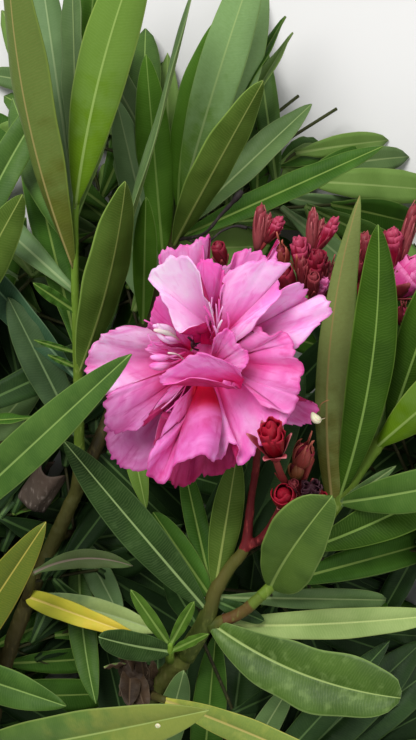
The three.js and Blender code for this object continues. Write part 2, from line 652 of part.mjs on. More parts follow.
// The solids of one sub-part joined, without the scraps that their edges may leave loose
function addMesh(name, solids, material) {
  const bodies = wasm.Manifold.union(solids).decompose();
  const whole = bodies.reduce((kept, body) => (body.volume() > kept.volume() ? body : kept));
  const { numProp, numVert, vertProperties, triVerts } = whole.getMesh();
  const positions = new Float32Array(numVert * 3);
  for (let i = 0; i < numVert; i++) positions.set(vertProperties.subarray(i * numProp, i * numProp + 3), i * 3);
  const geometry = new THREE.BufferGeometry();
  geometry.setAttribute("position", new THREE.BufferAttribute(positions, 3));
  geometry.setIndex(new THREE.BufferAttribute(new Uint32Array(triVerts), 1));
  const mesh = new THREE.Mesh(geometry, material);
  mesh.name = name;
  branch.add(mesh);
}

for (const [name, runs] of Object.entries(limbs)) {
  const material = name === "flower_stalk" ? materials.redStalk : materials.bark;
  addMesh(name, runs.map((run) => runSolid(run, 8)), material);
}

// Every stem, named leaf, bud and petal takes its place before the rule's leaves look for room
const shown = Object.fromEntries(
  Object.entries(masses).map(([name, mass]) => [name, mass.leaves.map((leaf) => rooted(leaf, runShares(mass.run)))]),
);
const petals = bloom.petals.map((petal) => ({ ...petal, start: spot(petal.root), end: spot(petal.tip) }));
const budEnds = Object.values(clusters).flatMap((cluster) => cluster.buds.flatMap((bud) => [bud.foot, bud.point]));
const taken = [
  ...Object.values(curves).flatMap(stemSamples),
  ...Object.values(shown).flat().flatMap(bladeSamples),
  ...petals.flatMap((petal) => bladeSamples({ ...petal, kind: "broad" })),
  ...budEnds.map(spot),
];

for (const [name, mass] of Object.entries(masses)) {
  const grown = mass.fill ? grownLeaves(mass, taken) : [];
  const leaves = [...shown[name], ...grown].map(leafSolid);
  addMesh(name, [...ownRuns(mass).map((run) => runSolid(run, 6)), ...leaves], materials.leaf);
}

for (const [name, cluster] of Object.entries(clusters)) {
  const twigs = cluster.twigs.map((points) => limbSolid(stemCurve(points), 0, 1, 5));
  const stalks = [...ownRuns(cluster).map((run) => runSolid(run, 5)), ...twigs];
  addMesh(name, [...stalks, ...cluster.buds.map(budSolid)], materials.bud);
}

const tube = turnedSolid(bloom.tube, spot(bloom.foot), spot(bloom.throat), 10);
addMesh("bloom", [tube, ...petals.map(petalSolid)], materials.petal);

// The branch stands on the ground with the middle of its outline over the origin
const bounds = new THREE.Box3().setFromObject(branch);
const middle = bounds.getCenter(new THREE.Vector3());
branch.position.set(-middle.x, -middle.y, -bounds.min.z);

export default branch;
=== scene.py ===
import json
import math

import bpy
import numpy as np
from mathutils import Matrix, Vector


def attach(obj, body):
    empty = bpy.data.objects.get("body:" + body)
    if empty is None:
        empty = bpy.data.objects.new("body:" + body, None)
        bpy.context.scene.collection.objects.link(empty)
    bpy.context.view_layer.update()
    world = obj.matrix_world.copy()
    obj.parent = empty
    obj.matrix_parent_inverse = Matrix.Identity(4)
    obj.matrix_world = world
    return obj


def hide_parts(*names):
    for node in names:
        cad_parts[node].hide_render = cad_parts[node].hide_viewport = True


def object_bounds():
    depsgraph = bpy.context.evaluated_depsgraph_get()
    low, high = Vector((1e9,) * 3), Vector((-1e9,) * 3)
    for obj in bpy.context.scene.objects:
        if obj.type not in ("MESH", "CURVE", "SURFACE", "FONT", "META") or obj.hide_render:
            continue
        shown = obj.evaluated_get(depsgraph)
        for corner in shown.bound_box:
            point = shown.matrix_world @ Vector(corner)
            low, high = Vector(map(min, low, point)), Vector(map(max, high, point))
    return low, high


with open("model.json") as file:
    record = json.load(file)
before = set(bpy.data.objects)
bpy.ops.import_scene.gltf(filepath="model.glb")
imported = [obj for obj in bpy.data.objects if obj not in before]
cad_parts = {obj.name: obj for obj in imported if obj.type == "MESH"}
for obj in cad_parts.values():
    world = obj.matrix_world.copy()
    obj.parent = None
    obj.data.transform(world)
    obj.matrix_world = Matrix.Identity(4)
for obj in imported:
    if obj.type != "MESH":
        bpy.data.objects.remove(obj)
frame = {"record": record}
cadLow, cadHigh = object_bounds()
bpy.ops.object.select_all(action="DESELECT")

# The layout of the branch: a picture in pixels, laid over it and seen from straight above. Millimetres.
layout = {
    "bloomWidth": 68, "bloomHeight": 88, "bloomPixels": 245, "eyeHeight": 508,
    "width": 416, "height": 740, "middleU": 208, "middleV": 370, "cutSpot": (-22, 968, 5.7),
}
up = np.array([0.0, 0.0, 1.0])
fullTurn = 6.28


def pixelSize(height):
    near = (layout["eyeHeight"] - height) / (layout["eyeHeight"] - layout["bloomHeight"])
    return layout["bloomWidth"] / layout["bloomPixels"] * near


def spot(place):
    u, v, height = place[:3]
    scale = pixelSize(height)
    return np.array([(u - layout["middleU"]) * scale, (layout["middleV"] - v) * scale, height])


cutEnd = next(mount for mount in frame["record"]["mounts"] if mount["name"] == "cut_end")
shift = np.array(cutEnd["pos_m"]) * 1000 - spot(layout["cutSpot"])


def toFrame(points):  # layout millimetres to the frame's metres
    return (np.asarray(points, float) + shift) * 0.001


def unit(vectors):
    return vectors / np.maximum(np.linalg.norm(vectors, axis=-1, keepdims=True), 1e-9)


def smooth(low, high, value):
    share = np.clip((value - low) / (high - low), 0, 1)
    return share * share * (3 - 2 * share)


# Camera, lights and floor
cameraLook = {"sensor": 36, "near": 0.01, "transform": "Standard"}
lightLook = {
    "sky": (0.96, 0.98, 1.0), "skyStrength": 0.486,
    "lamps": {"key": ((-0.5, 0.75, 1.3), 0.7, 22), "fill": ((0.9, -0.5, 1.1), 1.2, 5)},
    "floor": (0.72, 0.71, 0.69), "floorSize": 6, "floorRoughness": 0.9,
}


def makeCamera():
    tall = layout["height"] * pixelSize(layout["bloomHeight"])
    away = layout["eyeHeight"] - layout["bloomHeight"]
    bpy.ops.object.camera_add(location=toFrame((0, 0, layout["eyeHeight"])), rotation=(0, 0, 0))
    camera = bpy.context.object
    camera.data.sensor_width = cameraLook["sensor"]
    camera.data.lens = cameraLook["sensor"] * away / tall
    camera.data.clip_start = cameraLook["near"]
    bpy.context.scene.camera = camera
    bpy.context.scene.view_settings.view_transform = cameraLook["transform"]


def makeLights():
    world = bpy.data.worlds.new("paleSky")
    world.use_nodes = True
    sky = world.node_tree.nodes["Background"]
    sky.inputs["Color"].default_value = (*lightLook["sky"], 1)
    sky.inputs["Strength"].default_value = lightLook["skyStrength"]
    bpy.context.scene.world = world
    for name, (place, size, power) in lightLook["lamps"].items():
        aim = (-np.array(place)).tolist()
        turn = Vector(aim).to_track_quat("-Z", "Y").to_euler()
        bpy.ops.object.light_add(type="AREA", location=place, rotation=turn)
        lamp = bpy.context.object
        lamp.name = name
        lamp.data.size = size
        lamp.data.energy = power


def makeFloor():
    bpy.ops.mesh.primitive_plane_add(size=lightLook["floorSize"])
    floor = bpy.context.object
    floor.name = "floor"
    paint = bpy.data.materials.new("paleFloor")
    paint.use_nodes = True
    main = paint.node_tree.nodes["Principled BSDF"]
    main.inputs["Base Color"].default_value = (*lightLook["floor"], 1)
    main.inputs["Roughness"].default_value = lightLook["floorRoughness"]
    floor.data.materials.append(paint)


makeCamera()
makeLights()
makeFloor()
print("camera, lights and floor")


# Node helpers
def put(tree, kind, inputs=None, **settings):
    made = tree.nodes.new(kind)
    for key, value in settings.items():
        setattr(made, key, value)
    for key, value in (inputs or {}).items():
        if isinstance(value, bpy.types.NodeSocket):
            tree.links.new(value, made.inputs[key])
        else:
            made.inputs[key].default_value = value
    return made


def calc(tree, operation, *values):
    return put(tree, "ShaderNodeMath", dict(enumerate(values)), operation=operation).outputs[0]


def times(tree, first, second):
    return calc(tree, "MULTIPLY", first, second)


def scaled(tree, value, factor, offset):
    return calc(tree, "MULTIPLY_ADD", value, factor, offset)


def ease(tree, value, low, high):  # 0 below low, 1 above high, either way round
    inputs = {0: value, 1: low, 2: high, 3: 0.0, 4: 1.0}
    return put(tree, "ShaderNodeMapRange", inputs, interpolation_type="SMOOTHSTEP").outputs[0]


def mixed(tree, share, first, second):
    return put(tree, "ShaderNodeMix", {0: share, 6: first, 7: second}, data_type="RGBA").outputs[2]


def noise(tree, place, scale, detail=3.0, warp=0.0):
    inputs = {"Vector": place, "Scale": scale, "Detail": detail, "Distortion": warp}
    return put(tree, "ShaderNodeTexNoise", inputs).outputs["Fac"]


def cells(tree, place, scale):  # the distance to the nearest of many scattered dots
    return put(tree, "ShaderNodeTexVoronoi", {"Vector": place, "Scale": scale}).outputs["Distance"]


def carried(tree, name):  # a vector that each point of the mesh carries, and its three parts
    vector = put(tree, "ShaderNodeAttribute", attribute_name=name).outputs["Vector"]
    return vector, put(tree, "ShaderNodeSeparateXYZ", {0: vector}).outputs


def newGroup(name, colours, numbers):
    tree = bpy.data.node_groups.new(name, "ShaderNodeTree")
    for socket in colours:
        tree.interface.new_socket(socket, in_out="INPUT", socket_type="NodeSocketColor")
    for socket in numbers:
        tree.interface.new_socket(socket, in_out="INPUT", socket_type="NodeSocketFloat")
    tree.interface.new_socket("Color", in_out="OUTPUT", socket_type="NodeSocketColor")
    tree.interface.new_socket("Roughness", in_out="OUTPUT", socket_type="NodeSocketFloat")
    tree.interface.new_socket("Height", in_out="OUTPUT", socket_type="NodeSocketFloat")
    return tree, tree.nodes.new("NodeGroupInput").outputs, tree.nodes.new("NodeGroupOutput").inputs


def giveOut(tree, give, **sockets):
    for name, socket in sockets.items():
        tree.links.new(socket, give[name])


# The leaf's pattern, in millimetres of the blade: noise is larger where its number is smaller
leafPattern = {
    "patches": 0.07, "grain": 1.1, "tipEdge": 0.2, "veinGap": 0.85, "veinSlant": -0.36, "veinWander": 1.8,
    "ribWidth": 0.6, "ribTaper": -0.42, "specks": 0.42, "dust": 0.3,
}
petalPattern = {"throatEdge": 0.14, "patches": 0.16, "lines": 14.0, "lineStretch": 0.12, "creases": 0.5}
budPattern = {"streaks": 3.0, "grain": 0.5}
barkPattern = {"stretch": 0.35, "patches": 120.0, "grain": 900.0, "dots": 420.0}


def leafSurface():
    pattern, colours = leafPattern, ["Blade", "Shade", "Rib", "Edge", "Tip"]
    tree, take, give = newGroup("leafSurface", colours, ["Veins", "Specks", "Gloss", "From"])
    place, (across, along, _) = carried(tree, "blade")
    side, tall, _ = carried(tree, "share")[1]
    away = calc(tree, "ABSOLUTE", across)
    rim = calc(tree, "ABSOLUTE", side)
    patches = ease(tree, noise(tree, place, pattern["patches"]), 0.35, 0.65)
    grain = noise(tree, place, pattern["grain"], 5.0)
    colour = mixed(tree, patches, take["Blade"], take["Shade"])
    tipEdge = scaled(tree, noise(tree, place, pattern["tipEdge"], 5.0), 0.7, tall)
    fromTip = calc(tree, "SUBTRACT", tipEdge, take["From"])
    colour = mixed(tree, ease(tree, fromTip, 0.0, 0.4), colour, take["Tip"])
    wander = times(tree, noise(tree, place, 0.35), pattern["veinWander"])
    slant = scaled(tree, away, pattern["veinSlant"], along)
    turns = times(tree, calc(tree, "ADD", slant, wander), 2 * math.pi / pattern["veinGap"])
    ridge = calc(tree, "POWER", scaled(tree, calc(tree, "SINE", turns), 0.5, 0.5), 3.0)
    vein = times(tree, times(tree, ridge, ease(tree, rim, 1.0, 0.8)), take["Veins"])
    colour = mixed(tree, times(tree, vein, 0.3), colour, take["Rib"])
    colour = mixed(tree, times(tree, grain, 0.35), colour, take["Shade"])
    ribWidth = scaled(tree, tall, pattern["ribTaper"], pattern["ribWidth"])
    ribMask = ease(tree, away, ribWidth, times(tree, ribWidth, 0.45))
    colour = mixed(tree, times(tree, ribMask, 0.9), colour, take["Rib"])
    colour = mixed(tree, times(tree, ease(tree, rim, 0.92, 1.0), 0.7), colour, take["Edge"])
    speckles = cells(tree, place, pattern["specks"])
    dust = ease(tree, noise(tree, place, pattern["dust"], 6.0), 0.5, 0.72)
    speck = calc(tree, "MAXIMUM", times(tree, ease(tree, speckles, 0.12, 0.06), 0.4), dust)
    colour = mixed(tree, times(tree, speck, take["Specks"]), colour, take["Edge"])
    rough = scaled(tree, grain, 0.25, take["Gloss"])
    height = calc(tree, "ADD", times(tree, vein, 0.45), times(tree, grain, 0.35))
    giveOut(tree, give, Color=colour, Roughness=rough, Height=height)
    return tree


def petalSurface():
    tree, take, give = newGroup("petalSurface", ["Throat", "Body", "Rim", "Line"], ["Depth", "Lines"])
    place, (_, along, seed) = carried(tree, "blade")
    place = put(tree, "ShaderNodeMapping", {"Vector": place, "Rotation": (0.6, 0.4, 0.7)}).outputs[0]
    side, tall, foldShade = carried(tree, "share")[1]
    reach = scaled(tree, noise(tree, place, petalPattern["throatEdge"], 5.0, 0.5), 0.4, tall)
    beyond = calc(tree, "SUBTRACT", reach, take["Depth"])
    colour = mixed(tree, ease(tree, beyond, 0.0, 0.6), take["Throat"], take["Body"])
    patches = ease(tree, noise(tree, place, petalPattern["patches"], 6.0, 0.7), 0.25, 0.75)
    pale = times(tree, patches, ease(tree, reach, 0.45, 1.05))
    colour = mixed(tree, pale, colour, take["Rim"])
    over = times(tree, side, petalPattern["lines"])
    down = times(tree, along, petalPattern["lineStretch"])
    drawn = put(tree, "ShaderNodeCombineXYZ", {0: over, 1: down, 2: seed})
    streak = noise(tree, drawn.outputs[0], 1.0, 5.0)
    line = ease(tree, streak, 0.54, 0.68)
    lines = times(tree, times(tree, line, ease(tree, tall, 0.1, 0.6)), take["Lines"])
    colour = mixed(tree, lines, colour, take["Line"])
    colour = mixed(tree, times(tree, ease(tree, tall, 0.965, 1.0), 0.5), colour, take["Line"])
    # Painted shade: darker where the petal sinks into its folds
    colour = mixed(tree, times(tree, ease(tree, foldShade, 0.5, 0.95), 0.5), colour, take["Line"])
    crease = noise(tree, place, petalPattern["creases"], 4.0)
    height = calc(tree, "ADD", times(tree, streak, 0.7), crease)
    rough = scaled(tree, crease, 0.2, 0.5)
    giveOut(tree, give, Color=colour, Roughness=rough, Height=height)
    return tree


def budSurface():
    tree, take, give = newGroup("budSurface", ["Foot", "Body", "Point"], [])
    around, along, seed = carried(tree, "blade")[1]
    side, tall, _ = carried(tree, "share")[1]
    over = times(tree, around, budPattern["streaks"])
    streaks = put(tree, "ShaderNodeCombineXYZ", {0: over, 1: along, 2: seed})
    streak = noise(tree, streaks.outputs[0], budPattern["grain"], 4.0)
    reach = scaled(tree, streak, 0.3, tall)
    colour = mixed(tree, ease(tree, reach, 0.1, 0.55), take["Foot"], take["Body"])
    colour = mixed(tree, times(tree, ease(tree, reach, 0.85, 1.2), 0.7), colour, take["Point"])
    # Painted highlight: the point's colour laid along one side edge of each fold and sepal
    colour = mixed(tree, times(tree, ease(tree, side, 0.75, 1.0), 0.5), colour, take["Point"])
    colour = mixed(tree, times(tree, ease(tree, streak, 0.5, 0.75), 0.6), colour, take["Foot"])
    rough = scaled(tree, streak, 0.3, 0.34)
    giveOut(tree, give, Color=colour, Roughness=rough, Height=streak)
    return tree


def barkSurface():
    tree, take, give = newGroup("barkSurface", ["Skin", "Dark", "Pale", "Young"], ["Lenticels"])
    place = put(tree, "ShaderNodeTexCoord").outputs["Object"]
    stretch = (1.0, barkPattern["stretch"], 1.0)
    drawn = put(tree, "ShaderNodeMapping", {"Vector": place, "Scale": stretch}).outputs[0]
    patches = ease(tree, noise(tree, drawn, barkPattern["patches"], 5.0), 0.35, 0.7)
    grain = noise(tree, drawn, barkPattern["grain"], 6.0)
    tall = scaled(tree, patches, 0.3, carried(tree, "share")[1][1])
    colour = mixed(tree, patches, take["Skin"], take["Dark"])
    colour = mixed(tree, ease(tree, grain, 0.52, 0.72), colour, take["Pale"])
    colour = mixed(tree, times(tree, ease(tree, tall, 0.35, 1.1), 0.85), colour, take["Young"])
    dots = cells(tree, drawn, barkPattern["dots"])
    dot = times(tree, ease(tree, dots, 0.22, 0.12), take["Lenticels"])
    colour = mixed(tree, dot, colour, take["Pale"])
    rough = scaled(tree, grain, 0.3, 0.5)
    height = calc(tree, "ADD", times(tree, grain, 0.6), times(tree, dot, 0.5))
    giveOut(tree, give, Color=colour, Roughness=rough, Height=height)
    return tree


def tint(red, green, blue):  # a colour as the eye sees it, 0 to 255, to the linear one
    linear = [((c / 255 + 0.055) / 1.055) ** 2.4 if c > 10 else c / 255 / 12.92 for c in (red, green, blue)]
    return (*linear, 1)


# Each surface's relief in metres and its sheen, and the light that passes into a petal and out again
finishes = {
    "leaf": (0.00012, 0.2), "matt": (0.00012, 0.08), "petal": (0.00012, 0.2), "bud": (0.0002, 0.25),
    "bark": (0.0003, 0.2),
}
petalLines = 0.45
neverTurns = 2.0  # a share past the leaf's tip
petalGlow = {"Subsurface_Weight": 0.3, "Subsurface_Scale": 0.004, "Subsurface_Radius": (1.0, 0.25, 0.6)}


def newMaterial(name, group, values, finish, **shader):
    depth, sheen = finishes[finish]
    material = bpy.data.materials.new(name)
    material.use_nodes = True
    tree = material.node_tree
    main = tree.nodes["Principled BSDF"]
    made = put(tree, "ShaderNodeGroup", node_tree=group)
    for key, value in values.items():
        made.inputs[key].default_value = tint(*value) if isinstance(value, tuple) else value
    bump = {"Height": made.outputs["Height"], "Strength": 0.8, "Distance": depth}
    relief = put(tree, "ShaderNodeBump", bump)
    tree.links.new(made.outputs["Color"], main.inputs["Base Color"])
    tree.links.new(made.outputs["Roughness"], main.inputs["Roughness"])
    tree.links.new(relief.outputs["Normal"], main.inputs["Normal"])
    main.inputs["Specular IOR Level"].default_value = sheen
    for key, value in shader.items():
        main.inputs[key.replace("_", " ")].default_value = value
    return material


# Leaf finishes: the blade, its darker patches, midrib and margin, then how strong the side veins, the specks
# and the roughness are
leafTones = {
    "mid": ((72, 104, 38), (56, 88, 28), (130, 156, 82), (112, 138, 66), 0.3, 0.1, 0.4),
    "midPale": ((92, 120, 50), (74, 104, 40), (150, 168, 92), (140, 156, 84), 0.2, 0.0, 0.38),
    "olive": ((160, 136, 36), (128, 120, 34), (174, 160, 74), (160, 146, 56), 0.3, 0.0, 0.4),
    "green": ((64, 102, 32), (48, 82, 22), (122, 146, 70), (110, 136, 64), 0.3, 0.0, 0.4),
    "rich": ((54, 86, 16), (42, 70, 10), (122, 150, 72), (116, 146, 60), 0.45, 0.0, 0.4),
    "gray": ((92, 118, 66), (76, 102, 54), (132, 150, 96), (124, 142, 88), 0.3, 0.0, 0.42),
    "grayDark": ((64, 88, 52), (50, 72, 40), (108, 130, 84), (96, 118, 72), 0.3, 0.1, 0.42),
    "dark": ((44, 72, 28), (30, 54, 20), (92, 120, 66), (82, 106, 56), 0.3, 0.1, 0.36),
    "deepDark": ((30, 50, 20), (20, 38, 14), (62, 86, 44), (54, 76, 38), 0.2, 0.0, 0.46),
    "bluish": ((54, 86, 56), (42, 72, 46), (108, 138, 98), (104, 130, 92), 0.3, 0.0, 0.4),
    "lime": ((96, 130, 22), (84, 116, 14), (138, 162, 84), (142, 164, 76), 0.3, 0.0, 0.4),
    "limeUnder": ((156, 176, 108), (134, 158, 90), (186, 200, 128), (170, 186, 108), 0.5, 0.0, 0.46),
    "tan": ((88, 98, 32), (78, 84, 28), (148, 136, 82), (118, 138, 58), 0.35, 0.0, 0.44),
    "oliveUnder": ((80, 104, 38), (64, 86, 26), (134, 146, 76), (138, 164, 78), 0.4, 0.0, 0.42),
    "paleUnder": ((96, 134, 46), (84, 122, 36), (148, 172, 106), (130, 158, 84), 0.5, 0.0, 0.44),
    "brownUnder": ((94, 96, 38), (82, 82, 30), (142, 126, 76), (110, 140, 58), 0.5, 0.0, 0.48),
    "yellow": ((202, 190, 58), (174, 174, 54), (214, 192, 102), (170, 168, 70), 0.1, 0.0, 0.44),
    "yellowGreen": ((190, 182, 70), (158, 162, 62), (172, 158, 90), (184, 178, 84), 0.2, 0.2, 0.4),
    "plum": ((84, 108, 58), (78, 92, 54), (128, 114, 100), (100, 122, 70), 0.2, 0.0, 0.4),
    "leather": ((74, 102, 36), (58, 84, 26), (152, 170, 100), (136, 160, 92), 0.3, 0.3, 0.36),
    "fresh": ((76, 108, 34), (62, 92, 26), (122, 148, 72), (112, 138, 62), 0.3, 0.0, 0.4),
    "dusty": ((48, 74, 30), (36, 58, 22), (142, 164, 104), (90, 114, 66), 0.35, 0.2, 0.4),
    "broadGreen": ((80, 106, 38), (64, 90, 30), (138, 160, 84), (124, 146, 72), 0.4, 0.06, 0.4),
    "spring": ((78, 118, 34), (64, 102, 22), (120, 150, 70), (128, 156, 76), 0.3, 0.0, 0.42),
    "paleGray": ((118, 142, 92), (100, 126, 78), (158, 174, 120), (146, 164, 106), 0.2, 0.0, 0.44),
    "dryScale": ((76, 57, 38), (44, 33, 23), (80, 63, 45), (96, 82, 66), 0.5, 0.3, 0.5),
    "haze": ((112, 142, 68), (94, 124, 52), (138, 160, 90), (128, 150, 80), 0.2, 0.0, 0.44),
    "hazeGray": ((106, 134, 84), (90, 118, 70), (134, 154, 104), (124, 144, 94), 0.2, 0.0, 0.44),
    "under": ((104, 126, 66), (86, 110, 54), (150, 164, 100), (134, 150, 88), 0.5, 0.0, 0.5),
}
# Leaves that turn another colour towards the tip, and from which share of their length
tipTones = {
    "midPale": ((128, 136, 58), 0.8),
    "olive": ((72, 94, 26), 0.42),
    "lime": ((100, 130, 54), 0.5),
    "tan": ((96, 116, 54), 0.45),
    "paleUnder": ((128, 160, 102), 0.45),
    "brownUnder": ((122, 136, 76), 0.4),
    "yellow": ((206, 180, 56), 0.7),
    "yellowGreen": ((104, 128, 58), 0.3),
    "paleGray": ((164, 182, 108), 0.5),
}
mattLeaves = (
    "dusty", "plum", "green", "rich", "spring", "lime", "limeUnder", "tan", "oliveUnder", "brownUnder",
    "fresh", "deepDark",
)
# Petal finishes: the throat, the body, its paler patches and the veins, and how far the throat reaches
petalTones = {
    "white": ((236, 110, 186), (250, 186, 232), (254, 222, 247), (238, 146, 208), 0.1),
    "pale": ((230, 44, 130), (248, 136, 208), (252, 188, 236), (230, 84, 170), 0.2),
    "hot": ((232, 16, 104), (250, 88, 180), (252, 128, 206), (226, 44, 140), 0.25),
    "pink": ((204, 6, 72), (228, 90, 166), (242, 144, 206), (208, 42, 122), 0.25),
    "lilac": ((214, 22, 100), (238, 102, 184), (248, 162, 220), (212, 56, 140), 0.25),
    "blush": ((210, 34, 114), (234, 122, 190), (252, 196, 238), (214, 74, 148), 0.3),
    "rose": ((192, 18, 88), (214, 92, 164), (232, 142, 200), (190, 48, 124), 0.3),
    # This petal's throat reaches far: its own crimson throat, and painted shade under the curled petal above
    # it
    "heart": ((178, 0, 40), (220, 84, 164), (236, 136, 204), (194, 28, 104), 0.42),
    "deep": ((200, 6, 76), (238, 78, 164), (247, 126, 200), (206, 32, 120), 0.25),
    "under": ((120, 4, 40), (158, 22, 76), (184, 46, 106), (124, 8, 52), 0.2),
    "ivory": ((150, 110, 70), (226, 212, 170), (240, 230, 200), (190, 160, 110), 0.0),
    "cream": ((232, 170, 180), (244, 214, 214), (250, 236, 228), (230, 176, 186), 0.1),
}
# Bud finishes: the foot, the body and the point, whose colour is also laid along one edge of each fold and
# sepal as a painted highlight
budTones = {
    "crimson": ((64, 2, 12), (128, 2, 22), (178, 24, 52)),
    "wine": ((54, 4, 14), (98, 6, 22), (158, 36, 64)),
    "rosy": ((84, 6, 24), (138, 12, 42), (206, 82, 118)),
    "maroon": ((74, 18, 24), (106, 26, 36), (164, 66, 76)),
    "magenta": ((170, 24, 80), (212, 66, 140), (240, 138, 194)),
    "darkCalyx": ((74, 18, 22), (106, 28, 36), (184, 86, 88)),
    "pinkCalyx": ((94, 38, 40), (138, 60, 64), (194, 106, 110)),
    "rosyCalyx": ((110, 30, 34), (146, 40, 52), (214, 128, 134)),
    "orangeCalyx": ((104, 58, 40), (136, 54, 48), (206, 116, 92)),
    "bract": ((96, 84, 40), (130, 74, 46), (178, 122, 80)),
    "purple": ((82, 40, 70), (104, 62, 98), (150, 108, 140)),
    "withered": ((22, 8, 12), (38, 14, 24), (72, 34, 46)),
}
# Bark finishes: the skin, its dark and pale parts, the young wood at the far end, and the share of dots
barkTones = {
    "oldWood": ((66, 54, 32), (42, 32, 20), (104, 90, 60), (78, 86, 30), 0.4),
    "youngWood": ((64, 56, 26), (42, 36, 18), (88, 78, 44), (68, 68, 26), 0.2),
    "greenShoot": ((94, 118, 34), (78, 98, 28), (120, 138, 62), (110, 144, 44), 0.1),
    "redGreen": ((90, 62, 32), (82, 42, 28), (104, 98, 50), (88, 112, 34), 0.1),
    "greenRed": ((66, 78, 22), (52, 60, 20), (90, 98, 42), (86, 80, 32), 0.1),
    "redStalk": ((118, 30, 34), (80, 18, 22), (152, 60, 56), (146, 58, 54), 0.05),
    "deadWood": ((52, 44, 42), (28, 24, 24), (86, 76, 70), (40, 34, 34), 0.2),
    "shadeTwig": ((52, 50, 26), (36, 34, 18), (74, 70, 40), (60, 66, 30), 0.1),
    "stumpWood": ((62, 48, 36), (32, 24, 18), (104, 88, 72), (52, 40, 30), 0.0),
    "drySheath": ((84, 72, 62), (48, 40, 34), (124, 112, 102), (76, 62, 52), 0.0),
    "cutWood": ((206, 190, 140), (180, 160, 110), (222, 210, 170), (206, 190, 140), 0.0),
}


def makeMaterials():
    made = {}
    leaf, petal, bud, bark = leafSurface(), petalSurface(), budSurface(), barkSurface()
    for name, values in leafTones.items():
        keys = ("Blade", "Shade", "Rib", "Edge", "Veins", "Specks", "Gloss", "Tip", "From")
        look = dict(zip(keys, (*values, *tipTones.get(name, (values[0], neverTurns)))))
        made[name] = newMaterial(name + "Leaf", leaf, look, "matt" if name in mattLeaves else "leaf")
    for name, values in petalTones.items():
        keys = ("Throat", "Body", "Rim", "Line", "Depth")
        look = {**dict(zip(keys, values)), "Lines": petalLines}
        made[name + "Petal"] = newMaterial(name + "Petal", petal, look, "petal", **petalGlow)
    for name, values in budTones.items():
        made[name] = newMaterial(name + "Bud", bud, dict(zip(("Foot", "Body", "Point"), values)), "bud")
    for name, values in barkTones.items():
        keys = ("Skin", "Dark", "Pale", "Young", "Lenticels")
        made[name] = newMaterial(name, bark, dict(zip(keys, values)), "bark")
    return made


materials = makeMaterials()
print("materials")


# Many small shapes gathered into one mesh, each with its own finish
class Sheaf:
    def __init__(self, name):
        self.name, self.count = name, 0
        self.points, self.faces, self.blade, self.share, self.tones, self.looks = [], [], [], [], [], []

    def add(self, points, faces, blade, share, tones):
        for tone in set(tones):
            if tone not in self.looks:
                self.looks.append(tone)
        self.points.append(points)
        self.faces.append(faces + self.count)
        self.blade.append(blade)
        self.share.append(share)
        self.tones.append([self.looks.index(tone) for tone in tones])
        self.count += len(points)

    def build(self, slotName, *nodes):
        points, faces = toFrame(np.concatenate(self.points)), np.concatenate(self.faces)
        mesh = bpy.data.meshes.new(self.name)
        mesh.vertices.add(len(points))
        mesh.vertices.foreach_set("co", points.ravel())
        mesh.loops.add(faces.size)
        mesh.loops.foreach_set("vertex_index", faces.ravel().astype(np.int32))
        mesh.polygons.add(len(faces))
        mesh.polygons.foreach_set("loop_start", np.arange(0, faces.size, 4, dtype=np.int32))
        mesh.polygons.foreach_set("material_index", np.concatenate(self.tones).astype(np.int32))
        mesh.update(calc_edges=True)
        for key, values in (("blade", self.blade), ("share", self.share)):
            carrier = mesh.attributes.new(key, "FLOAT_VECTOR", "POINT")
            carrier.data.foreach_set("vector", np.concatenate(values).astype(np.float32).ravel())
        mesh.shade_smooth()
        for look in self.looks:
            mesh.materials.append(materials[look])
        piece = bpy.data.objects.new(self.name, mesh)
        bpy.context.collection.objects.link(piece)
        return placed(piece, slotName, *nodes)


def placed(piece, slotName, *nodes):
    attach(piece, "root")
    if nodes:
        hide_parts(*nodes)
    return piece


def shellFaces(rows, columns):  # the faces of a thin closed sheet: upper side, lower side and rim
    index = np.arange(rows * columns).reshape(rows, columns)
    corners = [index[:-1, :-1], index[:-1, 1:], index[1:, 1:], index[1:, :-1]]
    upper = np.stack(corners, -1).reshape(-1, 4)
    lower = upper[:, ::-1] + rows * columns
    rim = np.concatenate([index[0], index[1:, -1], index[-1, -2::-1], index[-2:0:-1, 0]])
    after = np.roll(rim, -1)
    edge = np.stack([rim, rim + rows * columns, after + rows * columns, after], -1)
    return np.concatenate([upper, lower, edge]), len(upper)


def tubeFaces(rings, sides):
    index = np.arange(rings * sides).reshape(rings, sides)
    turned = np.roll(index, -1, 1)
    walls = np.stack([index[:-1], turned[:-1], turned[1:], index[1:]], -1).reshape(-1, 4)
    cap = np.array([[0, 2 * k + 3, 2 * k + 2, 2 * k + 1] for k in range(sides // 2 - 1)])
    return np.concatenate([walls, cap, cap[:, ::-1] + (rings - 1) * sides])[:, ::-1]


def sheetNormals(points):
    return unit(np.cross(np.gradient(points, axis=1), np.gradient(points, axis=0)))


def addTube(sheaf, points, radii, tone, sides=8, seed=0.0):
    points, radii = np.asarray(points, float), np.asarray(radii, float)
    axis = unit(np.gradient(points, axis=0))
    side = unit(np.cross(axis, up) + 1e-6)
    over = np.cross(side, axis)
    turn = 2 * math.pi * np.arange(sides) / sides
    ring = np.cos(turn)[None, :, None] * side[:, None] + np.sin(turn)[None, :, None] * over[:, None]
    skin = points[:, None] + ring * radii[:, None, None]
    length = np.concatenate([[0], np.cumsum(np.linalg.norm(np.diff(points, axis=0), axis=1))])
    around = np.broadcast_to(turn[None] * radii[:, None], skin.shape[:2])
    along = np.broadcast_to(length[:, None], skin.shape[:2])
    blade = np.stack([around, along, np.full_like(around, seed)], -1).reshape(-1, 3)
    share = np.stack([np.broadcast_to(turn / math.pi - 1, around.shape), along / length[-1], around * 0], -1)
    faces = tubeFaces(len(points), sides)
    sheaf.add(skin.reshape(-1, 3), faces, blade, share.reshape(-1, 3), [tone] * len(faces))


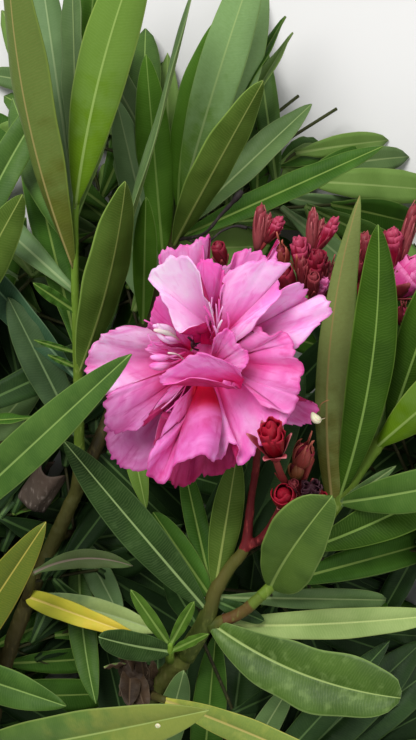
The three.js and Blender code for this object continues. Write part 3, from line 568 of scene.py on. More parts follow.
# Stems: points [u, v, height] with the radius there
stems = {
    "trunk": [
        (-22, 968, 5.7, 5.7), (-16, 930, 6.8, 5.4), (-11, 890, 8.6, 5.2), (-8, 852, 11, 5.3),
    ],
    "left": [
        (-9, 866, 10, 4), (-13, 822, 12.4, 3.8), (-15, 765, 14, 3.2), (1, 677, 18, 2.8), (27, 603, 21, 2.5),
        (52, 545, 24, 2.4), (78, 488, 27, 2.3), (104, 429, 28, 2.1), (140, 335, 27, 1.9), (172, 248, 28, 1.7),
        (181, 205, 30, 1.4), (184, 165, 31, 1),
    ],
    "leftShoot": [
        (74, 500, 26, 2), (79, 468, 32, 1.8), (79, 430, 38, 1.6), (78, 377, 44, 1.5), (75, 272, 55, 1.2),
        (76, 205, 60, 1), (82, 165, 61, 0.8),
    ],
    "lowLeft": [
        (25, 608, 20.5, 1.6), (27, 596, 26, 1.5), (31, 584, 31, 1.3), (34, 572, 34, 0.9),
    ],
    "lowMiddle": [
        (54, 541, 24, 1.5), (68, 534, 20, 1.4), (80, 534, 16, 1.2), (90, 539, 13, 0.9),
    ],
    "outerLeft": [
        (-9, 866, 10, 3.6), (-40, 814, 12.6, 3.2), (-60, 775, 17.5, 2.9), (-80, 720, 22.5, 2.6),
        (-88, 640, 30, 2.2), (-74, 540, 38, 1.9), (-65, 430, 44, 1.6), (-61, 335, 47, 1.1),
    ],
    "flower": [
        (-9, 866, 10, 4.2), (40, 820, 14, 3.9), (105, 762, 23, 3.6), (150, 696, 35, 3.5),
        (187, 652, 43.5, 3.2),
        (206, 620, 47, 2.8), (215, 592, 49.5, 2.2), (230, 567, 51, 1.9), (244, 549, 52.5, 1.7),
        (251, 500, 54, 1.15), (257, 455, 56, 1.15), (254, 410, 58, 1.3), (238, 384, 62, 1.5),
    ],
    "side": [
        (209, 626, 47, 2.2), (226, 620, 48.5, 2), (242, 612, 50, 1.8), (262, 595, 52, 1.7),
        (300, 555, 50, 1.8),
        (336, 504, 48, 2.3), (375, 448, 48, 2.1), (420, 395, 50, 1.5), (448, 358, 51, 1),
    ],
    "small": [
        (172, 668, 40.5, 1.7), (170, 658, 45, 1.4), (170, 650, 48.5, 1.2), (171, 642, 50, 0.9),
    ],
    "low": [
        (112, 754, 24, 2), (136, 776, 19, 1.9), (170, 796, 16.5, 1.7), (210, 812, 16, 1.4), (256, 802, 18, 1),
    ],
    "pale": [
        (152, 693, 35, 1.7), (152, 695, 40.5, 1.5), (156, 697, 46, 1.3), (166, 700, 50, 1),
    ],
    "stub": [
        (160, 692, 34, 3.2), (148, 690, 36, 4.6), (138, 678, 38, 5), (130, 660, 39, 4.2),
    ],
    "lowerBuds": [
        (245, 547, 52, 1.4), (258, 541, 54, 1.3), (273, 523, 58, 1.2), (286, 490, 65, 1.1), (280, 472, 73, 1),
        (275, 458, 80, 0.9),
    ],
    "upperBuds": [
        (256, 420, 57, 1.3), (266, 384, 50, 1.2), (276, 345, 46, 1.2), (284, 322, 47, 1.1), (300, 292, 50, 1),
    ],
    "rightBuds": [
        (282, 330, 47, 1.2), (300, 326, 42, 1.1), (330, 316, 38, 1.1), (360, 304, 38, 1), (390, 288, 40, 0.9),
    ],
}

# The limbs, each a run of stems from one of their points to another, with the starts of what grows on it
limbs = {
    "main_stem": [("trunk", 0, 3), ("left", 0, 1), ("outerLeft", 0, 1), ("flower", 0, 1)],
    "left_bough": [("left", 1, 6.45), ("leftShoot", 0, 1), ("lowLeft", 0, 1), ("lowMiddle", 0, 1)],
    "outer_left_bough": [("outerLeft", 1, 2)],
    "flower_bough": [("flower", 1, 4), ("small", 0, 1), ("low", 0, 1), ("pale", 0, 1)],
    "old_stub": [("stub", 0, 3)],
    "side_bough": [("side", 1, 3)],
    "flower_stalk": [("flower", 8, 12), ("upperBuds", 0, 1), ("lowerBuds", 0, 1)],
}

stemPoints = {name: [spot(point) for point in points] for name, points in stems.items()}


def stemPoint(name, t):  # a centripetal curve through the stem's points, evenly shared between them
    points = stemPoints[name]
    spans = len(points) - 1
    place = min(max(t, 0.0), 1.0) * spans
    i = min(int(place), spans - 1)
    w = place - i
    b, c = points[i], points[i + 1]
    a = points[i - 1] if i > 0 else 2 * b - c
    d = points[i + 2] if i + 2 <= spans else 2 * c - b
    ab, bc, cd = (np.linalg.norm(q - p) ** 0.5 for p, q in ((a, b), (b, c), (c, d)))
    m = ((b - a) / ab - (c - a) / (ab + bc) + (c - b) / bc) * bc
    n = ((c - b) / bc - (d - b) / (bc + cd) + (d - c) / cd) * bc
    return b + m * w + (3 * c - 3 * b - 2 * m - n) * w * w + (2 * b - 2 * c + m + n) * w ** 3


def stemRadius(name, t):
    radii = [point[3] for point in stems[name]]
    return float(np.interp(t * (len(radii) - 1), np.arange(len(radii)), radii))


def stemShares(run):
    name, first, last = run
    spans = len(stems[name]) - 1
    return name, first / spans, last / spans


def stemAxis(name, t):
    return unit(stemPoint(name, t + 0.0001) - stemPoint(name, t - 0.0001))


scarLook = {"gap": 11.0, "height": 0.09, "width": 0.7, "lap": 0.8}


def stemLine(run, step):  # points and radii along a run, swollen a little where leaves once stood
    name, start, end = stemShares(run)
    rough = np.array([stemPoint(name, t) for t in np.linspace(start, end, 60)])
    length = np.linalg.norm(np.diff(rough, axis=0), axis=1).sum()
    start = max(0.0, start - scarLook["lap"] / length * (end - start)) if run[1] > 0 else start
    shares = np.linspace(start, end, max(4, int(length / step)))
    points = np.array([stemPoint(name, t) for t in shares])
    reach = np.linspace(0, length, len(shares))
    away = (reach + scarLook["gap"] / 2) % scarLook["gap"] - scarLook["gap"] / 2
    swell = 1 + scarLook["height"] * np.exp(-((away / scarLook["width"]) ** 2))
    return points, np.array([stemRadius(name, t) for t in shares]) * swell


barkRelief = {"voxel": 0.00045, "depth": 0.0005, "grain": 0.0035, "fineDepth": 0.00022, "fineGrain": 0.0009}
limbShape = {"step": 1.5, "sides": 6, "blend": 0.5, "passes": 4, "cutTurn": 0.75, "cutDepth": 0.0012}
# Each limb's finish, slot and node, and how much rougher it is than young wood
limbFinish = {
    "main_stem": ("oldWood", "bark", "main_stem", 1.4), "left_bough": ("youngWood", "bark", "left_bough", 1),
    "outer_left_bough": ("youngWood", "bark", "outer_left_bough", 1),
    "flower_bough": ("oldWood", "bark", "flower_bough", 1.5),
    "side_bough": ("redGreen", "bark", "side_bough", 0.7),
    "flower_stalk": ("redStalk", "red_stalk", "flower_stalk", 0.5),
    "old_stub": ("stumpWood", "bark", "flower_bough", 5),
}


def modelLimb(name):
    tone, slotName, node, rough = limbFinish[name]
    bpy.ops.object.select_all(action="DESELECT")
    parts = []
    for run in limbs[name]:
        points, radii = stemLine(run, limbShape["step"])
        bpy.ops.curve.primitive_nurbs_path_add(location=(0, 0, 0))
        path = bpy.context.object
        path.data.splines.clear()
        line = path.data.splines.new("POLY")
        line.points.add(len(points) - 1)
        line.points.foreach_set("co", np.column_stack([toFrame(points), np.ones(len(points))]).ravel())
        line.points.foreach_set("radius", radii)
        path.data.bevel_depth, path.data.bevel_resolution = 0.001, limbShape["sides"]
        path.data.use_fill_caps = True
        parts.append(path)
    for part in parts:
        part.select_set(True)
    bpy.ops.object.convert(target="MESH")
    bpy.ops.object.join()
    limb = bpy.context.object
    limb.name = limb.data.name = name + "_bark"
    bpy.ops.object.transform_apply(location=True, rotation=True, scale=True)
    remesh = limb.modifiers.new("skin", "REMESH")
    remesh.mode, remesh.voxel_size = "VOXEL", barkRelief["voxel"]
    blend = limb.modifiers.new("forks", "SMOOTH")
    blend.factor, blend.iterations = limbShape["blend"], limbShape["passes"]
    for label, depth, grain in (("ridges", "depth", "grain"), ("cracks", "fineDepth", "fineGrain")):
        texture = bpy.data.textures.new(name + label, "CLOUDS")
        texture.noise_scale, texture.noise_depth = barkRelief[grain], 3
        relief = limb.modifiers.new(label, "DISPLACE")
        relief.texture, relief.strength, relief.mid_level = texture, barkRelief[depth] * rough, 0.5
    for modifier in list(limb.modifiers):
        bpy.ops.object.modifier_apply(modifier=modifier.name)
    for corner in limb.data.vertices:  # nothing goes below the ground
        corner.co.z = max(corner.co.z, 0)
    # How far along the limb each point lies, for the bark that gets younger
    lengthwise = stemLine(limbs[name][0], limbShape["step"])[0]
    skin = np.empty(len(limb.data.vertices) * 3)
    limb.data.vertices.foreach_get("co", skin)
    gaps = np.linalg.norm(skin.reshape(-1, 1, 3) - toFrame(lengthwise)[None, ::4], axis=2)
    share = np.zeros((len(gaps), 3), np.float32)
    share[:, 1] = gaps.argmin(1) / (gaps.shape[1] - 1)
    limb.data.attributes.new("share", "FLOAT_VECTOR", "POINT").data.foreach_set("vector", share.ravel())
    limb.data.materials.clear()
    limb.data.materials.append(materials[tone])
    if name == "main_stem":
        limb.data.materials.append(materials["cutWood"])
        axis, place = Vector(cutEnd["axis"]), Vector(cutEnd["pos_m"])
        for face in limb.data.polygons:
            level = face.normal.dot(axis) > limbShape["cutTurn"]
            atCut = (face.center - place).dot(axis) > -limbShape["cutDepth"]
            face.material_index = 1 if level and atCut else 0
    limb.data.shade_smooth()
    return placed(limb, slotName, node)


for limbName in limbs:
    modelLimb(limbName)
print("stems and boughs")


# Leaves: the rise and fall of each kind's outline
outlines = {
    "long": (0.85, 0.72), "spoon": (0.95, 0.42), "oval": (0.62, 0.55), "broad": (0.5, 0.4),
    "paddle": (0.74, 0.4), "lance": (0.45, 0.75), "strap": (0.3, 0.6),
}
bladeLook = {
    "thick": 0.5, "edge": 0.5, "ridge": 0.55, "groove": 0.22, "ribWidth": 0.6, "stalk": 0.95,
    "stalkShare": 0.1, "wave": 0.35, "belly": 0.1, "twist": 9.0, "ground": 0.35, "fold": 0.22, "rows": 34,
    "plainRows": 12, "tip": 0.998, "leastHalf": 0.08, "notches": 19, "footThick": 0.35, "footShare": 0.05,
}
fineColumns = np.array([-1, -0.9, -0.7, -0.45, -0.22, -0.1, -0.04, 0.04, 0.1, 0.22, 0.45, 0.7, 0.9, 1])
plainColumns = np.array([-1, -0.6, -0.12, 0.12, 0.6, 1])


def leafAt(root, tip, wide, tone, **more):
    return {"root": root, "tip": tip, "wide": wide, "tone": tone, **more}


# The masses of foliage: the stem that each grows on, its leaves and the rule's seed for more. A leaf's roll
# turns it about its length, a bow lifts it, a sweep bends it sideways and reverse shows its underside
masses = {
    "outer_left_leaves": {
        "run": ("outerLeft", 2, 7),
        "leaves": [
            leafAt((-63, 764, 20), (209, 710, 98), 16.5, "midPale", bow=2, mark=(28, 9)),
            leafAt((-81, 716, 24), (46, 522, 66), 13, "olive", bow=2),
            leafAt((-87, 655, 29), (66, 706, 54), 12, "mid"),
            leafAt((-74, 545, 38), (131, 354, 112), 12.5, "mid", roll=12, bow=2),
            leafAt((-65, 425, 44), (34, 418, 56), 5, "green", roll=50),
            leafAt((-62, 350, 46), (23, 194, 68), 13, "oliveUnder", reverse=True),
            leafAt((-61, 338, 46), (82, 52, 54), 10.5, "mid", sweep=-5),
        ],
        "fill": {"seed": 11, "whorls": 7},
    },
    "left_shoot_leaves": {
        "run": ("leftShoot", 1, 6),
        "leaves": [
            leafAt((74, 268, 56), (8, -66, 98), 13.4, "tan", roll=36, fold=0.36, lean=0.2, reverse=True,
                   sweep=-4.4),
            leafAt((76, 206, 60), (152, -80, 86), 15.5, "lime", reverse=True, sweep=-3),
            leafAt((80, 374, 45), (125, 181, 82), 14, "oliveUnder", roll=-34, fold=0.3, reverse=True,
                   sweep=2),
            leafAt((79, 372, 44), (192, -10, 70), 9, "gray", roll=76, sweep=2.2),
            leafAt((76, 312, 51), (33, 283, 58), 4, "green"),
            leafAt((77, 378, 44), (-72, 212, 42), 11, "bluish", roll=22),
            leafAt((79, 440, 37), (8, 297, 46), 11.5, "grayDark"),
            leafAt((76, 210, 59), (36, -62, 56), 10, "hazeGray", reverse=True),
            leafAt((78, 190, 60), (72, -50, 66), 9, "gray", roll=40),
            leafAt((80, 175, 60), (98, -72, 52), 12, "spring", reverse=True),
            leafAt((77, 352, 46), (34, 340, 52), 2, "green"),
            leafAt((77, 368, 45), (48, 355, 50), 2, "green"),
        ],
        "fill": {"seed": 5, "whorls": 10},
    },
    "middle_shoot_leaves": {
        "run": ("left", 6.45, 11),
        "leaves": [
            leafAt((178, 216, 29), (225, 12, 46), 11.5, "spring", roll=20, sweep=-4, reverse=True),
            leafAt((181, 208, 30), (264, -62, 62), 14, "paleUnder", sweep=-1, reverse=True),
            leafAt((182, 200, 31), (264, -30, 42), 12, "paleUnder", sweep=4, reverse=True),
            leafAt((173, 246, 29), (263, 80, 70), 12.5, "oliveUnder", roll=-30, reverse=True, bow=3),
            leafAt((143, 326, 28), (146, 197, 56), 7.6, "spring", reverse=True),
            leafAt((164, 272, 28), (146, 54, 38), 11.5, "spring", reverse=True),
            leafAt((160, 284, 27), (116, 98, 34), 11, "hazeGray", reverse=True),
            leafAt((150, 310, 27), (118, 196, 24), 12, "hazeGray"),
            leafAt((172, 250, 28), (270, 246, 16), 15, "haze"),
            leafAt((182, 190, 30), (286, 16, 36), 8, "green", roll=50),
            leafAt((179, 220, 29), (293, 32, 28), 8, "haze", roll=55),
            leafAt((174, 240, 28), (384, 146, 40), 9, "green", roll=20),
            leafAt((176, 232, 28), (312, 104, 24), 11, "gray", roll=25),
            leafAt((120, 388, 27), (146, 508, 46), 7, "lime"),
        ],
        "fill": {"seed": 29, "whorls": 12},
    },
    "low_left_leaves": {
        "run": ("lowLeft", 1, 3),
        "leaves": [
            leafAt((25, 600, 26), (138, 636, 42), 7, "yellow", kind="strap", sweep=-0.5, bow=3),
            leafAt((34, 573, 34), (133, 566, 38), 6, "plum", sweep=-3.4),
            leafAt((26, 606, 21), (160, 632, 32), 8.4, "paleGray", sweep=-1.2),
        ],
    },
    "low_middle_leaves": {
        "run": ("lowMiddle", 1, 3),
        "leaves": [
            leafAt((78, 534, 17), (122, 620, 22), 9, "hazeGray"),
            leafAt((80, 534, 16), (96, 704, 26), 9, "mid", sweep=2),
            leafAt((90, 539, 13), (184, 524, 9), 10, "dark"),
            leafAt((88, 538, 13), (166, 452, 6), 10, "dark"),
            leafAt((89, 539, 13), (180, 600, 8), 9, "dark"),
        ],
    },
    "fork_leaves": {
        "run": ("flower", 4, 8),
        "starts": [("side", 0, 1)],
        "leaves": [
            leafAt((208, 618, 46), (401, 698, 74), 19, "leather", kind="paddle", lean=0.04, skew=-0.35,
                   notch=0.05, sweep=4.4),
            leafAt((204, 624, 46), (452, 613, 40), 9.5, "limeUnder", bow=-3, sweep=2),
            leafAt((214, 597, 49), (386, 600, 34), 7, "gray", kind="spoon"),
            leafAt((214, 600, 49), (264, 621, 45), 5, "dark", kind="oval"),
            leafAt((208, 612, 48), (63, 440, 76), 12, "dusty", bow=2),
            leafAt((214, 594, 49), (237, 455, 58), 9.5, "oliveUnder", reverse=True),
            leafAt((212, 598, 48), (153, 512, 46), 8.5, "green", kind="oval"),
            leafAt((214, 596, 48), (182, 458, 42), 7, "green"),
            leafAt((228, 570, 51), (304, 370, 40), 12, "dark", bow=-3),
            leafAt((226, 574, 50), (238, 452, 44), 4, "dark"),
            leafAt((229, 568, 50), (334, 376, 34), 12, "deepDark"),
        ],
        "behind": [
            leafAt((206, 628, 42), (166, 574, 14), 8, "dark"),
            leafAt((212, 624, 42), (237, 568, 16), 8, "dark"),
        ],
    },
    "small_leaves": {
        "run": ("small", 1, 3),
        "leaves": [
            leafAt((170, 646, 49), (131, 590, 60), 4.4, "fresh", kind="oval"),
            leafAt((170, 650, 48), (99, 637, 64), 8.8, "dusty", kind="broad", sweep=-0.5),
            leafAt((171, 644, 50), (194, 602, 60), 3.8, "fresh", kind="oval"),
            leafAt((170, 652, 48), (208, 634, 62), 3.2, "fresh", roll=30),
        ],
    },
    "low_leaves": {
        "run": ("low", 1, 4),
        "leaves": [
            leafAt((154, 786, 18), (184, 670, 52), 10, "gray", reverse=True),
            leafAt((200, 810, 16), (216, 632, 34), 11, "green"),
            leafAt((214, 812, 16), (296, 676, 28), 9, "gray"),
            leafAt((236, 806, 17), (390, 640, 32), 10, "dark", reverse=True),
            leafAt((250, 803, 18), (420, 770, 22), 12, "dark"),
            leafAt((170, 796, 17), (120, 900, 8), 12, "dark"),
            leafAt((230, 808, 16), (300, 930, 6), 13, "dark"),
            leafAt((256, 802, 18), (352, 596, 9), 15, "deepDark"),
            leafAt((240, 806, 17), (296, 590, 12), 15, "deepDark"),
            leafAt((250, 803, 18), (424, 640, 12), 16, "dark"),
            leafAt((254, 802, 18), (450, 700, 8), 16, "deepDark"),
            leafAt((256, 802, 18), (462, 744, 11), 15, "dark"),
            leafAt((222, 810, 16), (262, 500, 18), 16, "dark"),
            leafAt((254, 802, 18), (454, 652, 7), 16, "dark"),
            leafAt((170, 796, 17), (197, 600, 12), 13, "deepDark"),
            leafAt((154, 786, 18), (160, 604, 10), 13, "dark"),
            leafAt((136, 776, 19), (104, 640, 10), 13, "deepDark"),
        ],
    },
    "pale_leaf": {
        "run": ("pale", 1, 3),
        "leaves": [leafAt((160, 698, 48), (368, 786, 86), 9, "yellowGreen", sweep=-1.5, bow=3)],
    },
    "right_shoot_leaves": {
        "run": ("side", 3, 8),
        "leaves": [
            leafAt((270, 585, 52), (332, 496, 88), 17.6, "broadGreen", kind="broad", skew=-0.8, notch=0.015,
                   bow=3, sweep=-1.5),
            leafAt((334, 508, 48), (360, 195, 72), 11, "brownUnder", kind="lance", roll=14, fold=0.3,
                   lean=0.3, reverse=True, sweep=-5),
            leafAt((338, 502, 48), (378, 224, 84), 13.4, "rich", reverse=True, sweep=4),
            leafAt((388, 434, 49), (452, 246, 76), 13, "rich", reverse=True),
            leafAt((376, 448, 49), (505, 336, 90), 14, "lime", reverse=True),
            leafAt((304, 551, 50), (500, 454, 45), 14.5, "rich", sweep=2),
            leafAt((337, 503, 48), (508, 470, 82), 12.5, "mid", sweep=0.6, bow=2),
            leafAt((332, 511, 48), (396, 466, 58), 3.6, "gray"),
            leafAt((444, 362, 51), (530, 190, 62), 13, "green"),
            leafAt((446, 360, 51), (600, 290, 58), 13, "green"),
            leafAt((402, 417, 49), (590, 400, 44), 13, "green"),
        ],
        "fill": {"seed": 17, "whorls": 8},
    },
}


def seeded(seed):
    state = [seed]

    def draw():
        state[0] = (state[0] * 1664525 + 1013904223) & 0xFFFFFFFF
        return state[0] / 2 ** 32

    return draw


def bladeFrame(leaf, roll=None):
    along = leaf["end"] - leaf["start"]
    axis = unit(along)
    facing = unit(up - axis * axis[2])
    side = np.cross(axis, facing)
    turn = np.radians(leaf.get("roll", 0) if roll is None else roll)
    turn = np.asarray(turn, float)[..., None]
    across = side * np.cos(turn) + facing * np.sin(turn)
    return along, facing, side, across, np.cross(across, axis)


def halfWidth(kind, wide, t):
    rise, fall = outlines[kind]
    peak = rise / (rise + fall)
    top = peak ** rise * (1 - peak) ** fall
    return wide / 2 * np.maximum(t, 1e-6) ** rise * np.maximum(1 - t, 1e-6) ** fall / top


def midrib(leaf, t, along, facing, side):
    bend = (4 * t * (1 - t))[:, None]
    pull = facing * leaf.get("bow", 0) + side * leaf.get("sweep", 0)
    return leaf["start"] + along * t[:, None] + pull * bend


def bladeSamples(leaf):
    t = np.linspace(0, 1, 17)
    along, facing, side, across, normal = bladeFrame(leaf)
    middle = midrib(leaf, t, along, facing, side)
    half = halfWidth(leaf.get("kind", "long"), leaf["wide"], t)[:, None]
    lift = normal * half * bladeLook["fold"]
    return np.concatenate([middle + across * half * s + lift * abs(s) for s in (-1, -0.5, 0, 0.5, 1)])


def addLeaf(sheaf, leaf, random, fine=True):
    look = bladeLook
    # t runs from the root to the tip, and s from one margin to the other
    rows, s = (look["rows"], fineColumns) if fine else (look["plainRows"], plainColumns)
    t = np.linspace(0, look["tip"], rows)
    twist = leaf.get("roll", 0) + look["twist"] * (random() - 0.5) * 2 * (t - 0.5)
    along, facing, side, across, normal = bladeFrame(leaf, twist)
    length = np.linalg.norm(along)
    middle = midrib(leaf, t, along, facing, side)
    # Half the width: the outline, its stalk, and how it leans, skews and dips
    half = halfWidth(leaf.get("kind", "long"), leaf["wide"], t)
    stalk = look["stalk"] * (1 - smooth(look["stalkShare"] * 0.6, look["stalkShare"] * 1.6, t))
    half = np.maximum(np.maximum(half, stalk), look["leastHalf"])[:, None]
    half = half * (1 + (leaf.get("lean", 0) + leaf.get("skew", 0) * (t[:, None] - 0.5)) * np.sign(s)[None])
    notch = leaf.get("notch", 0) * np.sin(look["notches"] * t[:, None] + 2.2 * (s > 0)[None])
    half = half * (1 + notch * smooth(0.2, 0.5, t)[:, None])
    out = half * s[None]
    # The section: folded along the midrib, full in each half, with a wavy margin
    reverse = leaf.get("reverse", False)
    fold = leaf.get("fold", look["fold"]) * (-1 if reverse else 1)
    phase, waves = random() * fullTurn, 2.5 + 2 * random()
    rim = np.abs(s)[None] ** 2 * np.sin(2 * np.pi * waves * t[:, None] + phase + (s > 0)[None] * 1.7)
    lift = fold * half * np.abs(s)[None] ** 1.3 + look["belly"] * half * np.sin(np.pi * np.abs(s))[None]
    lift = lift + look["wave"] * rim * smooth(0.1, 0.4, t)[:, None]
    sheet = middle[:, None] + across[:, None] * out[..., None] + normal[:, None] * lift[..., None]
    # The thickness: the midrib stands out below and is sunk above
    rib = np.exp(-((out / look["ribWidth"]) ** 2)) * (1 - 0.6 * t)[:, None]
    base = look["thick"] / 2 * (1 - (1 - look["edge"]) * np.abs(s)[None] ** 2)
    base = base + look["footThick"] * np.exp(-t / look["footShare"])[:, None]
    ridge, groove = base + look["ridge"] * rib, base - look["groove"] * rib * smooth(0.03, 0.12, t)[:, None]
    above, below = (ridge, groove) if reverse else (groove, ridge)
    upper = sheet + normal[:, None] * above[..., None]
    lower = sheet - normal[:, None] * below[..., None]
    if "mark" in leaf:  # a pale scale on the blade, at a row and a column
        place, raised = upper[leaf["mark"]], np.array([[-0.1], [0.3], [0.5]])
        addTube(sheaf, place + up * raised, (1.05, 0.95, 0.3), "ivoryPetal", 12)
    points = np.concatenate([upper.reshape(-1, 3), lower.reshape(-1, 3)])
    low = look["ground"]
    points[:, 2] = np.maximum(points[:, 2], np.repeat([low + 0.4, low - 0.1], len(points) // 2))
    seed = random() * 200
    blade = np.stack([out, np.broadcast_to(t[:, None] * length, rib.shape), rib * 0 + seed], -1)
    share = np.stack([rib * 0 + s[None], rib * 0 + t[:, None], rib * 0], -1)
    faces, upperCount = shellFaces(rows, len(s))
    hidden = "dark" if reverse else "under"
    tones = [leaf["tone"]] * upperCount + [hidden] * upperCount
    tones += [leaf["tone"]] * (len(faces) - 2 * upperCount)
    sheaf.add(points, faces, *(np.tile(a.reshape(-1, 3), (2, 1)) for a in (blade, share)), tones)


def rooted(leaf, run):  # the root is sunk into the stem that the leaf grows on
    name, start, end = stemShares(run)
    line = np.array([stemPoint(name, t) for t in np.linspace(start, end, 201)])
    nearest = np.argmin(np.linalg.norm(line - spot(leaf["root"]), axis=1))
    return {**leaf, "start": line[nearest], "end": spot(leaf["tip"])}


# The rule for the leaves that grow all round: whorls of three, each turned against the last
fillRule = {
    "perWhorl": 3, "tries": 2, "spread": (34, 66), "long": (58, 90), "wide": (10, 14), "clear": 3,
    "rootReach": 12, "drop": 0.12, "margin": 12, "ground": 0.6, "bow": 2, "roll": 50, "lightFrom": 22,
    # Leaves high in the picture take the paler lightTones, the rest the darker tones: painted light above,
    # painted shade below
    "tones": ("dark", "green", "dark", "gray", "mid"),
    "lightTones": ("gray", "green", "hazeGray", "mid", "haze"),
}
# The same rule carried to finer twigs, lower down and in the shade of the others
shadeRule = {
    **fillRule, "long": (38, 66), "wide": (8, 12), "clear": 0.8, "rootReach": 8, "drop": 0.05,
    "ceiling": 27, "tries": 5, "open": (286, 120), "seedStart": 1000, "lowest": 3.0,
    "twigGap": 4.5, "twigLength": (14, 62), "twigWhorls": 7, "twigRadius": 0.55, "twigTone": "shadeTwig",
    # Very dark tones low down as painted shade, and the paler lightTones high up as painted light
    "tones": ("deepDark", "dark", "deepDark", "green", "deepDark"),
    "lightTones": ("haze", "gray", "hazeGray", "mid", "haze", "green"),
    "masses": {
        "outer_left_leaves": 11, "middle_shoot_leaves": 29, "low_left_leaves": 3, "low_middle_leaves": 8,
        "fork_leaves": 13, "low_leaves": 21, "right_shoot_leaves": 17,
    },
}


def inPicture(points, margin):
    scale = pixelSize(points[:, 2])
    u = points[:, 0] / scale + layout["middleU"]
    v = layout["middleV"] - points[:, 1] / scale
    inside = (u > -margin) & (u < layout["width"] + margin)
    return inside & (v > -margin) & (v < layout["height"] + margin)


def inOpening(points, left, bottom):  # the picture's upper right corner, where the branch is open
    scale = pixelSize(points[:, 2])
    beyond = points[:, 0] > (left - layout["middleU"]) * scale
    return beyond & (points[:, 1] > (layout["middleV"] - bottom) * scale)


def hasRoom(points, start, rule, taken):
    reach = np.linalg.norm(points - start, axis=1)
    out = reach >= rule["rootReach"]
    points, reach = points[out], reach[out]
    if not len(points):
        return True
    placedThere = toFrame(points)
    outside = (placedThere < cadLow).any() or (placedThere > cadHigh).any()
    if outside or (points[:, 2] < rule["ground"] / 2).any():
        return False
    shown = inPicture(points, rule["margin"])
    if "open" in rule and inOpening(points, *rule["open"]).any():
        return False
    limit = np.minimum(start[2] - rule["drop"] * reach, rule.get("ceiling", 1e9))
    if (shown & (points[:, 2] > limit)).any():
        return False
    low, high = points.min(0) - rule["clear"], points.max(0) + rule["clear"]
    near = taken[((taken > low) & (taken < high)).all(1)]
    if not len(near):
        return True
    gaps = np.linalg.norm(points[:, None] - near[None], axis=2)
    return gaps.min() > rule["clear"]


def whorl(start, axis, number, rule, random, taken, grown):  # keeps those leaves that find room
    def between(low, high):
        return low + (high - low) * random()

    side = unit(np.cross(axis, up))
    over = np.cross(side, axis)
    for k in range(rule["tries"] * rule["perWhorl"]):
        turn = math.pi / rule["perWhorl"] * (k + 0.5 * number + 0.4 * random())
        spread = math.radians(between(*rule["spread"]))
        way = (side * math.cos(turn) + over * math.sin(turn)) * math.sin(spread) + axis * math.cos(spread)
        end = start + way * between(*rule["long"])
        end[2] = max(end[2], rule["ground"])
        leaf = {"start": start, "end": end, "wide": between(*rule["wide"]), "bow": rule["bow"]}
        leaf["roll"] = rule["roll"] * (random() - 0.5)
        points = bladeSamples(leaf)
        if hasRoom(points, start, rule, taken[0]):
            # Paler tones for leaves high in the picture and darker ones lower: painted light and painted
            # shade
            lit = points[:, 1].mean() > rule.get("lightFrom", 1e9)
            tones = rule["lightTones"] if lit else rule["tones"]
            leaf["tone"] = tones[len(grown) % len(tones)]
            grown.append(leaf)
            taken[0] = np.concatenate([taken[0], points])


def grownLeaves(mass, taken):
    random = seeded(mass["fill"]["seed"])
    name, start, end = stemShares(mass["run"])
    grown = []
    for number in range(mass["fill"]["whorls"]):
        t = start + (end - start) * (0.06 + 0.9 * number / (mass["fill"]["whorls"] - 1))
        whorl(stemPoint(name, t), stemAxis(name, t), number, fillRule, random, taken, grown)
    return grown


def shadeTwigs(run, seed, taken):
    rule, random = shadeRule, seeded(seed + shadeRule["seedStart"])
    name, start, end = stemShares(run)
    length = np.linalg.norm(stemPoint(name, end) - stemPoint(name, start))
    count = 4 + int(length / rule["twigGap"])
    twigs, grown = [], []
    for number in range(count):
        t = start + (end - start) * (number + random()) / count
        foot, axis = stemPoint(name, t), stemAxis(name, t)
        side = unit(np.cross(axis, up)) * (1 if random() > 0.5 else -1)
        shortest, longest = rule["twigLength"]
        reach = shortest + (longest - shortest) * random()
        way = unit(side + axis * (2.4 * random() - 0.9))  # out to one side, forward or a little back
        point = foot + way * reach
        point[2] = max(rule["lowest"], min(foot[2] * (0.2 + 0.5 * random()), rule["ceiling"] - 4))
        bend = np.array([foot, foot + (point - foot) * 0.5 + up * (point[2] - foot[2]) * 0.2, point])
        before = len(grown)
        for k in range(rule["twigWhorls"]):
            share = (k + 1) / rule["twigWhorls"]
            place = foot + (point - foot) * share
            whorl(place, unit(point - foot), number + k, rule, random, taken, grown)
        if len(grown) > before:
            twigs.append(bend)
    return twigs, grown


def budAt(foot, point, wide, **more):
    return {"foot": foot, "point": point, "wide": wide, **more}


# Bud clusters: red stalks that fork, and a bud at the end of each. A bud is a furled head in a cup of sepals,
# and each kind tells how long the head is, its folds, its sepals' number and length, and how far they flare
budKinds = {
    "furled": {"head": 1.0, "folds": 6, "ruffle": 0.22, "sepals": 6, "long": 0.66, "flare": (0.0, 0.35)},
    "round": {"head": 0.95, "folds": 4, "ruffle": 0.05, "sepals": 5, "long": 0.5, "flare": (0.0, 0.2)},
    "spire": {"head": 0.9, "folds": 3, "ruffle": 0.05, "sepals": 8, "long": 0.92, "flare": (-0.05, 0.2)},
    "open": {"head": 1.0, "folds": 7, "ruffle": 0.24, "sepals": 6, "long": 0.7, "flare": (0.3, 1.5)},
    "spiky": {"head": 0.62, "folds": 3, "ruffle": 0.2, "sepals": 7, "long": 0.92, "flare": (0.2, 1.1)},
    "withered": {"head": 0.85, "folds": 8, "ruffle": 0.5, "sepals": 4, "long": 0.7, "flare": (0.3, 1.6)},
}
budProfile = ((0, 0.08, 0.3, 0.55, 0.8, 0.94, 1), (0.28, 0.48, 0.78, 0.92, 0.72, 0.38, 0.06))
